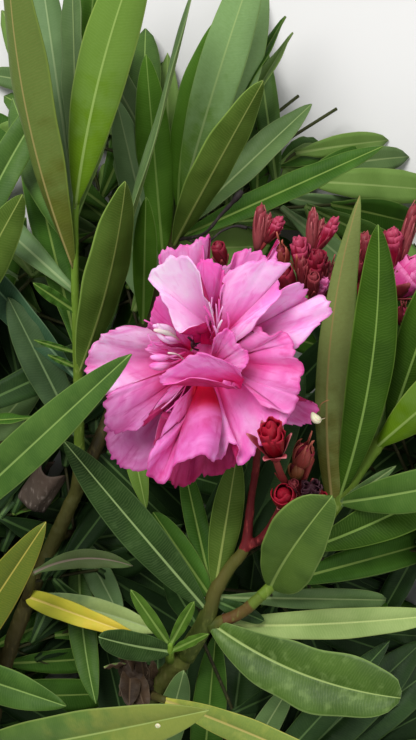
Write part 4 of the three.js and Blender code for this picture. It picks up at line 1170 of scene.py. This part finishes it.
clusters = {
    "upper_buds": {
        "run": ("upperBuds", 1, 4),
        "starts": [("rightBuds", 0, 1)],
        "twigs": [
            [(284, 322, 47, 1), (270, 290, 48, 0.9), (259, 252, 50, 0.9)],
            [(284, 322, 47, 1), (304, 284, 46, 0.9), (313, 252, 49, 0.9)],
            [(275, 290, 48, 0.8), (246, 280, 49, 0.8), (225, 268, 50, 0.7)],
            [(300, 292, 50, 0.9), (320, 292, 50, 0.8)],
        ],
        "buds": [
            budAt((223, 266, 50), (217, 240, 56), 4.4, kind="round", tone="wine"),
            budAt((257, 250, 50), (262, 198, 54), 3.5, kind="spire", cup="pinkCalyx"),
            budAt((262, 243, 50), (271, 210, 53), 2.6, kind="spire", cup="pinkCalyx"),
            budAt((266, 242, 51), (283, 216, 56), 3.1, tone="rosy"),
            budAt((284, 268, 50), (278, 232, 58), 4.0, kind="spiky", cup="orangeCalyx"),
            budAt((303, 279, 48), (299, 235, 58), 4.8, tone="rosy", cup="orangeCalyx"),
            budAt((311, 254, 49), (314, 203, 53), 3.5, kind="spire", cup="pinkCalyx"),
            budAt((315, 250, 49), (324, 215, 52), 2.6, kind="spire", cup="pinkCalyx"),
            budAt((314, 253, 50), (339, 216, 56), 3.3, tone="rosy"),
            budAt((315, 291, 50), (319, 249, 62), 5.4, tone="wine"),
            budAt((312, 296, 54), (315, 271, 64), 3.6, kind="round", tone="maroon"),
            budAt((303, 292, 50), (303, 252, 58), 3.6, kind="spire"),
            budAt((291, 297, 50), (282, 262, 60), 5.6, kind="round", tone="wine"),
            budAt((324, 291, 49), (335, 249, 55), 4.4, kind="spiky"),
            budAt((309, 306, 50), (328, 277, 58), 3.2, tone="magenta"),
            budAt((316, 306, 49), (332, 268, 54), 3.6, kind="spire"),
        ],
    },
    "right_buds": {
        "run": ("rightBuds", 1, 4),
        "twigs": [
            [(360, 304, 38, 0.9), (360, 276, 40, 0.9), (361, 262, 42, 0.8)],
            [(384, 292, 40, 0.9), (392, 280, 41, 0.9), (396, 266, 42, 0.8)],
        ],
        "buds": [
            budAt((361, 264, 42), (367, 228, 46), 4.4, kind="spire"),
            budAt((356, 278, 42), (359, 246, 46), 3.4, kind="spiky"),
            budAt((369, 264, 42), (378, 229, 44), 3.6, kind="spire"),
            budAt((387, 262, 43), (385, 228, 47), 3.8, kind="round", tone="wine"),
            budAt((394, 270, 42), (394, 226, 50), 4.8, tone="rosy"),
            budAt((399, 266, 43), (417, 196, 48), 3.6, kind="spire", cup="pinkCalyx"),
            budAt((386, 294, 40), (428, 264, 48), 10.5, tone="magenta"),
            budAt((401, 324, 40), (405, 297, 46), 3.6, kind="spiky", tone="rosy"),
            budAt((346, 309, 38), (342, 272, 42), 4.0, kind="spire"),
        ],
    },
    "lower_buds": {
        "run": ("lowerBuds", 1, 5),
        "twigs": [
            [(286, 490, 64, 1.1), (293, 482, 66, 1), (296, 474, 67, 1.1)],
            [(294, 500, 63, 1), (303, 480, 65, 1.1), (311, 458, 67, 1.2)],
            [(290, 492, 64, 1), (300, 496, 66, 0.9), (308, 497, 67, 0.8)],
            [(287, 490, 64, 0.5), (281, 481, 67, 0.3), (275, 473, 70, 0.2)],
        ],
        "buds": [
            budAt((276, 458, 80), (270, 421, 94), 6.2, kind="open", tone="crimson", cup="rosyCalyx"),
            budAt((298, 468, 67), (314, 431, 75), 5.2, kind="spiky", tone="wine", cup="orangeCalyx"),
            budAt((295, 480, 66), (299, 452, 71), 3.8, kind="spiky", cup="bract"),
            budAt((287, 503, 63), (282, 491, 75), 6.6, kind="round", tone="crimson", cup="pinkCalyx"),
            budAt((291, 493, 66), (295, 480, 71), 3.0, kind="round", cup="purple"),
            budAt((309, 499, 66), (312, 482, 75), 4.6, kind="withered", tone="withered"),
            budAt((306, 505, 62), (323, 495, 70), 4.8, tone="crimson"),
        ],
    },
}


def around(axis):
    side = unit(np.cross(axis, up) + 1e-6)
    return side, np.cross(side, axis)


def onBud(foot, axis, turn, height, radius):  # points round a bud's axis
    side, over = around(axis)
    ring = np.cos(turn)[..., None] * side + np.sin(turn)[..., None] * over
    return foot + axis * np.broadcast_to(height, turn.shape)[..., None] + ring * radius[..., None]


def addBud(sheaf, bud, random):
    foot, point, kind = spot(bud["foot"]), spot(bud["point"]), budKinds[bud.get("kind", "furled")]
    axis, reach, wide = unit(point - foot), np.linalg.norm(point - foot), bud["wide"] / 2
    long, tone = reach * kind["head"], bud.get("tone", "maroon")
    turn = (2 * math.pi * np.arange(12) / 12)[None]
    h = np.linspace(0, 1, 12)[:, None]
    core = onBud(foot, axis, turn + 1.7 * h, h * long, 0.9 * wide * np.interp(h, *budProfile) + turn * 0)
    flat, seed = turn * 0 + h * 0, random() * 90
    blade = np.stack([turn * wide + flat, h * long + flat, flat + seed], -1).reshape(-1, 3)
    share = np.stack([flat, h + flat, flat], -1).reshape(-1, 3)
    faces = tubeFaces(12, 12)
    sheaf.add(core.reshape(-1, 3), faces, blade, share, [tone] * len(faces))
    for k in range(kind["folds"]):
        addFold(sheaf, foot, axis, long, wide, k, kind, tone, random)
    for k in range(kind["sepals"]):
        angle = 2 * math.pi * (k + 0.3 * random()) / kind["sepals"]
        shut, wideOpen = kind["flare"]
        flare = shut + (wideOpen - shut) * random() ** 1.5
        size = reach * kind["long"] * (0.7 + 0.4 * random())
        cup = bud.get("cup", "darkCalyx")
        addSepal(sheaf, foot, axis, angle, size, wide, flare, cup, random, size / long)


def addFold(sheaf, foot, axis, long, wide, number, kind, tone, random):  # a petal wound round the head
    t, u = np.linspace(0, 1, 8)[:, None], np.linspace(0, 1, 9)[None]
    h = 0.1 + (0.88 - 0.05 * number) * t * (1 - 0.12 * u ** 2)
    crinkle = np.sin(9 * u + fullTurn * random()) * t ** 3 * kind["ruffle"]
    radius = wide * (np.interp(h, *budProfile) * (1 + 0.14 * u + 0.015 * number) + 0.22 * t ** 6 + crinkle)
    turn = 2.4 * number + (2.2 + 0.4 * t) * u + 0.8 * h
    addShell(sheaf, onBud(foot, axis, turn, h * long, radius), 0.22, tone, random() * 50)


def addSepal(sheaf, foot, axis, angle, long, wide, flare, tone, random, cover=0.5):  # lies over the head
    t, s = np.linspace(0, 1, 9)[:, None], np.linspace(-1, 1, 5)[None]
    h = 0.96 * t - 0.02
    head = np.interp(np.clip(h * cover, 0, 1), *budProfile)
    hug = wide * (head * 1.1 + 0.12 + flare * t ** 2.4 - 0.08 * s ** 2 * t)
    half = 0.85 * np.clip(1 - t, 0.015, 1) ** 0.62 * (1 - 0.35 * t)
    turn = angle + s * half + 0.25 * (random() - 0.5) * t
    addShell(sheaf, onBud(foot, axis, turn, h * long + s * 0, hug), 0.26, tone, random() * 50)


def addShell(sheaf, sheet, thick, tone, seed, hidden=None, foldShade=0.0):
    rows, columns = sheet.shape[:2]
    normal = sheetNormals(sheet) * thick / 2
    points = np.concatenate([(sheet + normal).reshape(-1, 3), (sheet - normal).reshape(-1, 3)])
    s, t = np.meshgrid(np.linspace(-1, 1, columns), np.linspace(0, 1, rows))
    wide = np.linalg.norm(np.diff(sheet, axis=1), axis=2).sum(1)[:, None]
    long = np.linalg.norm(sheet[-1, columns // 2] - sheet[0, columns // 2])
    blade = np.stack([s * wide / 2, t * long, s * 0 + seed], -1).reshape(-1, 3)
    share = np.stack([s, t, s * 0 + foldShade], -1).reshape(-1, 3)
    faces, upperCount = shellFaces(rows, columns)
    tones = [tone] * upperCount + [hidden or tone] * upperCount + [tone] * (len(faces) - 2 * upperCount)
    sheaf.add(points, faces, np.tile(blade, (2, 1)), np.tile(share, (2, 1)), tones)


def modelCluster(name, cluster):
    sheaf, random = Sheaf(name + "_stalks"), seeded(len(name) * 7)
    buds = Sheaf(name + "_heads")
    lines = [np.array([[*spot(point), point[3]] for point in twig]) for twig in cluster["twigs"]]
    joints = []
    for run in [cluster["run"], *cluster.get("starts", [])]:
        points, radii = stemLine(run, limbShape["step"])
        addTube(sheaf, points, radii, "redStalk", 10)
        joints.append(points)
    for line in lines:
        t = np.linspace(0, 1, 14)
        knots = np.linspace(0, 1, len(line))
        twig = np.column_stack([np.interp(t, knots, line[:, k]) for k in range(4)])
        addTube(sheaf, twig[:, :3], twig[:, 3], "redStalk", 8)
        joints.append(twig[:, :3])
    joints = np.concatenate(joints)
    for bud in cluster["buds"]:
        foot, point = spot(bud["foot"]), spot(bud["point"])
        near = joints[np.argmin(np.linalg.norm(joints - foot, axis=1))]
        t = np.linspace(0, 1, 6)[:, None]
        width = min(1.1, 0.2 * bud["wide"])
        line = near + (foot + unit(point - foot) * 0.8 - near) * t
        addTube(sheaf, line, np.linspace(0.75, 1.15, 6) * width, "redStalk", 8)
        addBud(buds, bud, random)
    sheaf.build("red_stalk", name)
    buds.build("buds", name)


def petalTo(claw, rim, tone, frill, **more):
    return {"claw": claw, "rim": rim, "tone": tone, "frill": frill, **more}


# Uneven waves over a petal: how many half turns over its width, and how high each is
ripples = {
    "edge": ((2, 1.0), (4, 0.8), (7, 0.4), (12, 0.16), (19, 0.06)), "bend": ((1, 1.0), (2, 0.5)),
    "creases": ((6, 1.0), (9, 0.8), (14, 0.45)), "creaseDepth": ((2, 0.5), (3, 0.4)),
    "nibbles": ((6, 0.8), (9, 1.0), (15, 0.8), (22, 0.7), (31, 0.45)), "nibbleDepth": ((3, 1.0),),
}
# The bloom: petals as fans from a claw near the throat to a rim of given points, u, v and height
bloomShape = {
    "foot": (236, 380, 63), "throat": (205, 358, 82), "thick": 0.35, "claw": 3.0, "rows": 26,
    "columns": 80, "crease": 0.05, "nibble": 0.009, "sepals": 5,
    "tube": ((0, 2.4), (3, 3.2), (7, 2.4), (13, 3.4), (20, 5.6), (22, 5.0)),
}
petals = [
    petalTo((200, 342, 80), [(180, 290, 86), (159, 262, 90), (160, 253, 91), (171, 247, 91), (190, 246, 92),
                             (198, 238, 91), (209, 235, 90), (204, 252, 91), (206, 290, 88)], "lilac", 1.4),
    petalTo((212, 344, 79), [(216, 300, 84), (220, 270, 87), (232, 262, 88), (240, 252, 87), (250, 249, 87),
                             (261, 252, 88), (268, 258, 88), (277, 243, 89), (276, 262, 87), (262, 290, 85)],
                             "lilac", 1.2),
    petalTo((206, 344, 82), [(198, 300, 91), (196, 268, 96), (204, 259, 97), (219, 264, 96), (226, 278, 94),
                             (226, 305, 91)], "hot", 0.5, bow=0.5),
    petalTo((190, 346, 80), [(180, 318, 84), (168, 290, 86), (158, 296, 86), (151, 316, 85), (147, 329, 84),
                             (152, 338, 83), (172, 344, 82)], "deep", 0.7),
    petalTo((218, 346, 82), [(250, 318, 90), (264, 308, 93), (279, 292, 95), (298, 282, 94), (305, 288, 91),
                             (306, 296, 88), (312, 303, 86), (321, 296, 89), (330, 302, 91), (329, 314, 90),
                             (314, 329, 90), (296, 348, 89), (268, 352, 87)], "pale", 0.6, bow=0.5, pleats=1,
                             pleat=0.1),
    petalTo((214, 362, 76), [(262, 378, 76), (294, 400, 76), (311, 402, 76), (318, 409, 75), (309, 423, 74),
                             (287, 424, 74), (250, 400, 75)], "pink", 0.6),
    petalTo((206, 370, 76), [(172, 440, 76), (165, 470, 75), (171, 484, 74), (180, 487, 73), (189, 485, 73),
                             (200, 476, 74), (214, 476, 74), (230, 469, 75), (237, 458, 76), (230, 440, 77)],
                             "under", 1.4),
    petalTo((192, 370, 78), [(134, 402, 79), (108, 424, 78), (107, 445, 76), (116, 462, 75), (130, 470, 75),
                             (148, 469, 76), (162, 458, 77), (172, 430, 78)], "rose", 1.3),
    petalTo((194, 358, 80), [(168, 342, 82), (150, 330, 85), (132, 325, 88), (116, 328, 90), (102, 335, 90),
                             (90, 349, 88), (86, 364, 86), (88, 380, 86), (100, 394, 86), (130, 392, 84)],
                             "blush", 1.1),
    petalTo((196, 366, 81), [(150, 382, 84), (108, 394, 86), (105, 412, 86), (107, 428, 85), (121, 432, 86),
                             (132, 432, 87), (140, 429, 87), (147, 416, 88), (166, 404, 86)], "rose", 1.2,
                             bow=1),
    petalTo((212, 366, 80), [(262, 395, 88), (289, 412, 88), (281, 428, 86), (264, 444, 85), (250, 458, 84),
                             (242, 465, 84), (236, 452, 86), (230, 444, 87), (222, 455, 86), (214, 460, 84),
                             (208, 420, 84)], "lilac", 1.5, pleats=3, pleat=1.1),
    petalTo((216, 358, 81), [(240, 344, 89), (256, 328, 93), (268, 333, 93), (284, 331, 92), (294, 342, 91),
                             (295, 356, 92), (302, 370, 91), (300, 384, 92), (299, 396, 90), (290, 414, 89),
                             (262, 404, 88)], "pink", 1.3, bow=2, pleats=2, pleat=1),
    # Its long crimson throat is partly painted shade under the curled petal
    petalTo((203, 374, 80), [(176, 402, 86), (160, 436, 88), (148, 456, 89), (146, 472, 86), (159, 483, 84),
                             (168, 479, 86), (178, 465, 91), (190, 458, 94), (205, 455, 95), (216, 460, 91),
                             (219, 430, 87), (216, 396, 82)], "heart", 0.9, bow=2.4, pleats=2, pleat=-1.2),
    petalTo((214, 344, 83), [(222, 318, 90), (223, 292, 95), (226, 277, 97), (240, 266, 99), (254, 260, 100),
                             (270, 259, 100), (289, 264, 99), (277, 274, 97), (277, 284, 97), (280, 296, 97),
                             (268, 312, 96), (252, 328, 94), (236, 342, 90)], "pale", 0.9, bow=1.5),
    petalTo((210, 326, 86), [(203, 296, 102), (196, 266, 106), (187, 257, 105), (174, 257, 103),
                             (160, 264, 100), (151, 271, 98), (149, 279, 97), (159, 292, 97), (168, 308, 97),
                             (178, 332, 96), (187, 327, 96), (198, 326, 94), (206, 322, 90)], "white", 0.4,
                             bow=1),
    petalTo((212, 364, 82), [(212, 342, 94), (218, 334, 97), (226, 330, 98), (234, 333, 98), (237, 343, 97),
                             (245, 350, 97), (248, 362, 96), (240, 373, 93)], "lilac", 0.5, bow=1, pleat=0.2),
    petalTo((190, 350, 84), [(192, 336, 91), (182, 331, 92), (170, 334, 91), (160, 342, 89), (172, 350, 87)],
            "deep", 0.4),
    petalTo((192, 358, 84), [(176, 348, 89), (152, 344, 90), (146, 350, 89), (158, 356, 88), (176, 358, 87)],
            "lilac", 0.4),
    petalTo((242, 384, 88), [(240, 371, 95), (228, 363, 99), (216, 357, 101), (203, 353, 102),
                             (190, 356, 101), (176, 366, 99), (163, 374, 98), (159, 378, 97), (162, 384, 96),
                             (172, 384, 97), (192, 378, 98), (214, 381, 97), (232, 385, 92)], "lilac", 0.3,
                             bow=0.5),
]
# Stamens and fringe: a line from one point to another, its radius, the width of its head, the head's share
strands = [
    ((180, 340, 88), (153, 326, 96), 0.4, 0.8, 0.8, "white"),
    ((180, 342, 88), (157, 333, 95), 0.4, 0.75, 0.8, "white"),
    ((181, 338, 88), (157, 324, 96), 0.4, 0.7, 0.8, "white"),
    ((180, 341, 88), (154, 330, 96.6), 0.4, 0.72, 0.8, "cream"),
    ((182, 343, 88), (164, 337, 94), 0.3, 0.7, 0.7, "pale"),
    ((188, 356, 86), (149, 366, 93), 0.35, 1.4, 0.5, "lilac"),
    ((186, 352, 87), (150, 357, 94), 0.3, 1.0, 0.5, "pale"),
    ((186, 362, 88), (168, 353, 96), 0.22, 0.3, 0.4, "cream"),
    ((186, 380, 88), (161, 409, 92), 0.14, 0.16, 0.4, "pale"),
    ((188, 378, 87), (166, 412, 91), 0.13, 0.15, 0.4, "deep"),
    ((188, 382, 88), (158, 405, 93), 0.13, 0.13, 0.4, "deep"),
    ((164, 346, 88), (144, 320, 94), 0.22, 0.2, 0.4, "deep"),
    ((168, 350, 88), (148, 334, 95), 0.2, 0.2, 0.4, "pale"),
    ((170, 344, 88), (150, 342, 95), 0.2, 0.2, 0.4, "lilac"),
    ((216, 338, 88), (209, 302, 99), 0.2, 0.22, 0.4, "white"),
    ((216, 338, 88), (212, 297, 100), 0.18, 0.2, 0.4, "pale"),
    ((217, 338, 88), (216, 304, 100), 0.18, 0.2, 0.4, "pale"),
    ((218, 338, 88), (219, 299, 99), 0.2, 0.22, 0.4, "deep"),
    ((219, 339, 88), (223, 306, 98), 0.2, 0.24, 0.4, "pale"),
    ((215, 340, 88), (206, 316, 97), 0.2, 0.3, 0.4, "pink"),
    ((218, 342, 88), (222, 320, 98), 0.22, 0.32, 0.4, "white"),
    ((214, 340, 88), (204, 306, 98), 0.22, 0.3, 0.4, "deep"),
    ((220, 342, 88), (227, 312, 96), 0.22, 0.3, 0.4, "deep"),
    ((217, 344, 90), (214, 326, 99), 0.22, 0.32, 0.5, "pale"),
    ((196, 346, 88), (188, 337, 93), 0.3, 0.35, 0.5, "withered"),
    ((198, 350, 88), (192, 342, 93), 0.3, 0.35, 0.5, "withered"),
    ((325, 418, 78), (312, 412, 82), 0.12, 1.3, 0.75, "ivory"),
    ((320, 414, 80), (329, 400, 81), 0.1, 0.12, 0.5, "bract"),
]


def throughPoints(points, count):  # a smooth line through given points, evenly spaced
    knots = np.concatenate([[0], np.cumsum(np.linalg.norm(np.diff(points, axis=0), axis=1) ** 0.5)])
    slopes = np.gradient(points, knots, axis=0)
    places = np.linspace(0, knots[-1], count)
    i = np.clip(np.searchsorted(knots, places, side="right") - 1, 0, len(knots) - 2)
    gap = (knots[i + 1] - knots[i])[:, None]
    w = (places - knots[i])[:, None] / gap
    return ((2 * w ** 3 - 3 * w ** 2 + 1) * points[i] + (w ** 3 - 2 * w ** 2 + w) * gap * slopes[i]
            + (3 * w ** 2 - 2 * w ** 3) * points[i + 1] + (w ** 3 - w ** 2) * gap * slopes[i + 1])


def ripple(s, waves, random):  # an uneven wave: how many half turns over the width, and the height
    return sum(size * np.sin((count + random()) * math.pi * s + fullTurn * random()) for count, size in waves)


def addPetal(sheaf, petal, random):
    rows, columns = bloomShape["rows"], bloomShape["columns"]
    rim = throughPoints(np.array([spot(point) for point in petal["rim"]]), columns)
    claw = spot(petal["claw"])
    way = unit(rim.mean(0) - claw)
    cross = unit(np.cross(up, way))
    s, t = np.linspace(-1, 1, columns), np.linspace(0, 1, rows) ** 0.85
    turn = np.sign(np.dot(rim[-1] - rim[0], cross)) or 1.0
    foot = claw + cross * turn * s[:, None] * bloomShape["claw"] / 2
    sheet = foot[None] * (1 - t)[:, None, None] + rim[None] * t[:, None, None]
    normal = sheetNormals(sheet)
    normal = normal * np.where(normal[..., 2:] < 0, -1, 1)
    # Frilled at the rim, pleated and creased from claw to rim, and bowed as a whole
    frill, bow = petal["frill"], petal.get("bow", 0)
    pleats, pleat, phase = petal.get("pleats", 2), petal.get("pleat", 0.5), random() * fullTurn
    edge = ripple(s, ripples["edge"], random)
    bend = 0.5 * t[:, None] ** 1.5 * ripple(s, ripples["bend"], random)[None]
    creases = ripple(s[None] + 0.1 * bend, ripples["creases"], random) * bloomShape["crease"]
    creases = creases * (1 + ripple(s, ripples["creaseDepth"], random))[None]
    lift = frill * 0.5 * t[:, None] ** 4 * edge[None]
    folds = pleat * np.cos(pleats * math.pi * s + 0.4 * phase)[None]
    lift = lift + folds * (np.sin(math.pi * t) ** 0.8)[:, None]
    lift = lift + creases * (np.sin(math.pi * t) ** 0.6)[:, None]
    # How deep each point lies in the petal's folds, for the painted shade there
    foldShade = np.clip(0.5 - 0.5 * lift / np.abs(lift).max(), 0, 1)
    lift = lift + bow * np.sin(math.pi * t)[:, None]
    sheet = sheet + normal * lift[..., None]
    # The rim is a little uneven, in and out
    nibble = bloomShape["nibble"] * ripple(s, ripples["nibbles"], random)
    nibble = nibble * (1 + 0.6 * ripple(s, ripples["nibbleDepth"], random))
    sheet = claw + (sheet - claw) * (1 + nibble[None] * t[:, None] ** 6)[..., None]
    if sheetNormals(sheet)[..., 2].mean() < 0:
        sheet, foldShade = sheet[:, ::-1], foldShade[:, ::-1]
    addShell(sheaf, sheet, bloomShape["thick"], petal["tone"] + "Petal", random() * 90, "underPetal", foldShade)


def modelBloom():
    random = seeded(41)
    sheaf = Sheaf("bloom_petals")
    foot, throat = spot(bloomShape["foot"]), spot(bloomShape["throat"])
    axis = unit(throat - foot)
    heights, radii = np.array(bloomShape["tube"]).T
    h = np.linspace(0, heights[-1], 24)
    addTube(sheaf, foot + axis * h[:, None], np.interp(h, heights, radii), "deepPetal", 20)
    for petal in petals:
        addPetal(sheaf, petal, random)
    for start, end, radius, head, share, tone in strands:
        start, end = spot(start), spot(end)
        t = np.linspace(0, 1, 20)
        sway = np.cross(unit(end - start), up) * (random() - 0.5) * 4
        line = start + (end - start) * t[:, None] + (up * 1.2 + sway) * np.sin(math.pi * t)[:, None]
        along = np.clip((t - 1 + share) / share, 0, 1)
        size = radius + (head - radius) * np.sin(math.pi * along ** 0.8) ** 0.7
        addTube(sheaf, line, size, tone if tone in budTones else tone + "Petal", 10, random() * 50)
    sheaf.build("petals", "bloom")
    calyx = Sheaf("bloom_calyx")
    for k in range(bloomShape["sepals"]):
        addSepal(calyx, foot, axis, 2 * math.pi * k / bloomShape["sepals"], 7, 3.2, 0.4, "darkCalyx", random)
    calyx.build("buds")


def allTaken():
    points = [np.array([stemPoint(name, t) for t in np.linspace(0, 1, 60)]) for name in stems]
    for mass in masses.values():
        mass["shown"] = [rooted(leaf, mass["run"]) for leaf in mass["leaves"]]
        points += [bladeSamples(leaf) for leaf in mass["shown"]]
    for petal in petals:
        claw = spot(petal["claw"])
        rim = np.array([spot(point) for point in petal["rim"]])
        points += [claw + (rim - claw) * share for share in (0.25, 0.5, 0.75, 1)]
    for cluster in clusters.values():
        points.append(np.array([spot(bud[end]) for bud in cluster["buds"] for end in ("foot", "point")]))
    return [np.concatenate(points)]


massTwigs = {
    "outer_left_leaves": "greenShoot", "left_shoot_leaves": "greenShoot", "middle_shoot_leaves": "youngWood",
    "low_left_leaves": "youngWood", "low_middle_leaves": "youngWood", "fork_leaves": "greenRed",
    "small_leaves": "greenShoot", "low_leaves": "youngWood", "pale_leaf": "youngWood",
    "right_shoot_leaves": "greenShoot",
}


def modelMasses():
    taken = allTaken()
    grown = {name: grownLeaves(mass, taken) if "fill" in mass else [] for name, mass in masses.items()}
    for name, mass in masses.items():
        random = seeded(len(name) * 13 + len(mass["leaves"]))
        blades, twigs = Sheaf(name + "_blades"), Sheaf(name + "_twigs")
        for run in [mass["run"], *mass.get("starts", [])]:
            addTube(twigs, *stemLine(run, 1.0), massTwigs[name], 14)
        for leaf in mass["shown"]:
            addLeaf(blades, leaf, random)
        for leaf in grown[name]:
            addLeaf(blades, leaf, random, False)
        if name in shadeRule["masses"]:
            lines, shade = shadeTwigs(mass["run"], shadeRule["masses"][name], taken)
            radii = np.full(10, shadeRule["twigRadius"])
            for line in lines:
                addTube(twigs, throughPoints(line, 10), radii, shadeRule["twigTone"], 6)
            for leaf in shade:
                addLeaf(blades, leaf, random, False)
            print(name, len(grown[name]), "leaves by the rule,", len(shade), "in the shade")
        for leaf in mass.get("behind", []):
            addLeaf(blades, rooted(leaf, mass["run"]), random, False)
        twigs.build("bark", name)
        blades.build("leaves", name)


# Dead twigs, each a line of points with the radius there
deadTwigs = [
    [
        (176, 240, 29, 0.6), (205, 233, 40, 0.5), (220, 216, 44, 0.55), (232, 203, 46, 0.7),
        (238, 196, 47, 1.05), (242, 191, 47, 0.85),
    ],
    [
        (178, 236, 29, 0.5), (206, 243, 40, 0.38), (222, 231, 43, 0.36), (236, 226, 44, 0.42),
        (247, 228, 45, 0.7),
    ],
]


def modelDeadTwigs():
    sheaf = Sheaf("dead_twigs")
    for twig in deadTwigs:
        line = throughPoints(np.array([[*spot(point), point[3]] for point in twig]), 40)
        knots = 1 + 0.14 * np.sin(np.linspace(0, 40, 40)) * np.sin(np.linspace(0, 11, 40))
        addTube(sheaf, line[:, :3], line[:, 3] * knots, "deadWood", 8)
    sheaf.build("bark", "middle_shoot_leaves")


# Dry scales that peel from the stump of an old shoot, and a dry sheath rolled round the left bough
dryScales = [
    leafAt((134, 668, 38), (104, 668, 46), 3, "dryScale", roll=50, sweep=1.2),
    leafAt((132, 664, 38), (112, 646, 44), 2.6, "dryScale", roll=20),
    leafAt((140, 682, 38), (126, 640, 50), 4.4, "dryScale", roll=-40),
    leafAt((146, 690, 36), (140, 652, 50), 4.6, "dryScale", roll=30),
    leafAt((136, 662, 42), (129, 706, 48), 6.4, "dryScale", roll=12),
    leafAt((147, 660, 42), (146, 712, 47), 6.8, "dryScale", roll=-8),
    leafAt((136, 672, 38), (120, 696, 44), 5.4, "dryScale", roll=15),
    leafAt((150, 690, 35), (152, 660, 47), 4, "dryScale", roll=-30),
]
drySheath = {"middle": (56, 470, 26), "end": (34, 504, 22), "radius": 6.2, "turn": (-0.6, 4.1), "thick": 0.35}


def modelDryBits():
    sheaf, random = Sheaf("dry_scales"), seeded(23)
    for scale in dryScales:
        addLeaf(sheaf, rooted(scale, ("stub", 0, 3)), random)
    middle, end = spot(drySheath["middle"]), spot(drySheath["end"])
    axis = unit(middle - end)
    t = np.linspace(0, 1, 14)[:, None]
    turn = np.linspace(*drySheath["turn"], 30)[None]
    radius = drySheath["radius"] * (0.62 + 0.1 * turn) * (1 + 0.08 * np.sin(5 * turn + 4 * t) + 0.1 * t)
    height = t * np.linalg.norm(middle - end) * (1 + 0.1 * np.sin(3 * turn))
    sheet = onBud(end, axis, turn + t * 0.3, height, radius)
    sheet[..., 2] = np.maximum(sheet[..., 2], 1)
    addShell(sheaf, sheet, drySheath["thick"], "drySheath", 3)
    sheaf.build("bark", "flower_bough")


modelMasses()
modelDeadTwigs()
modelDryBits()
print("foliage")
for clusterName, clusterLook in clusters.items():
    modelCluster(clusterName, clusterLook)
print("buds")
modelBloom()
print("bloom")
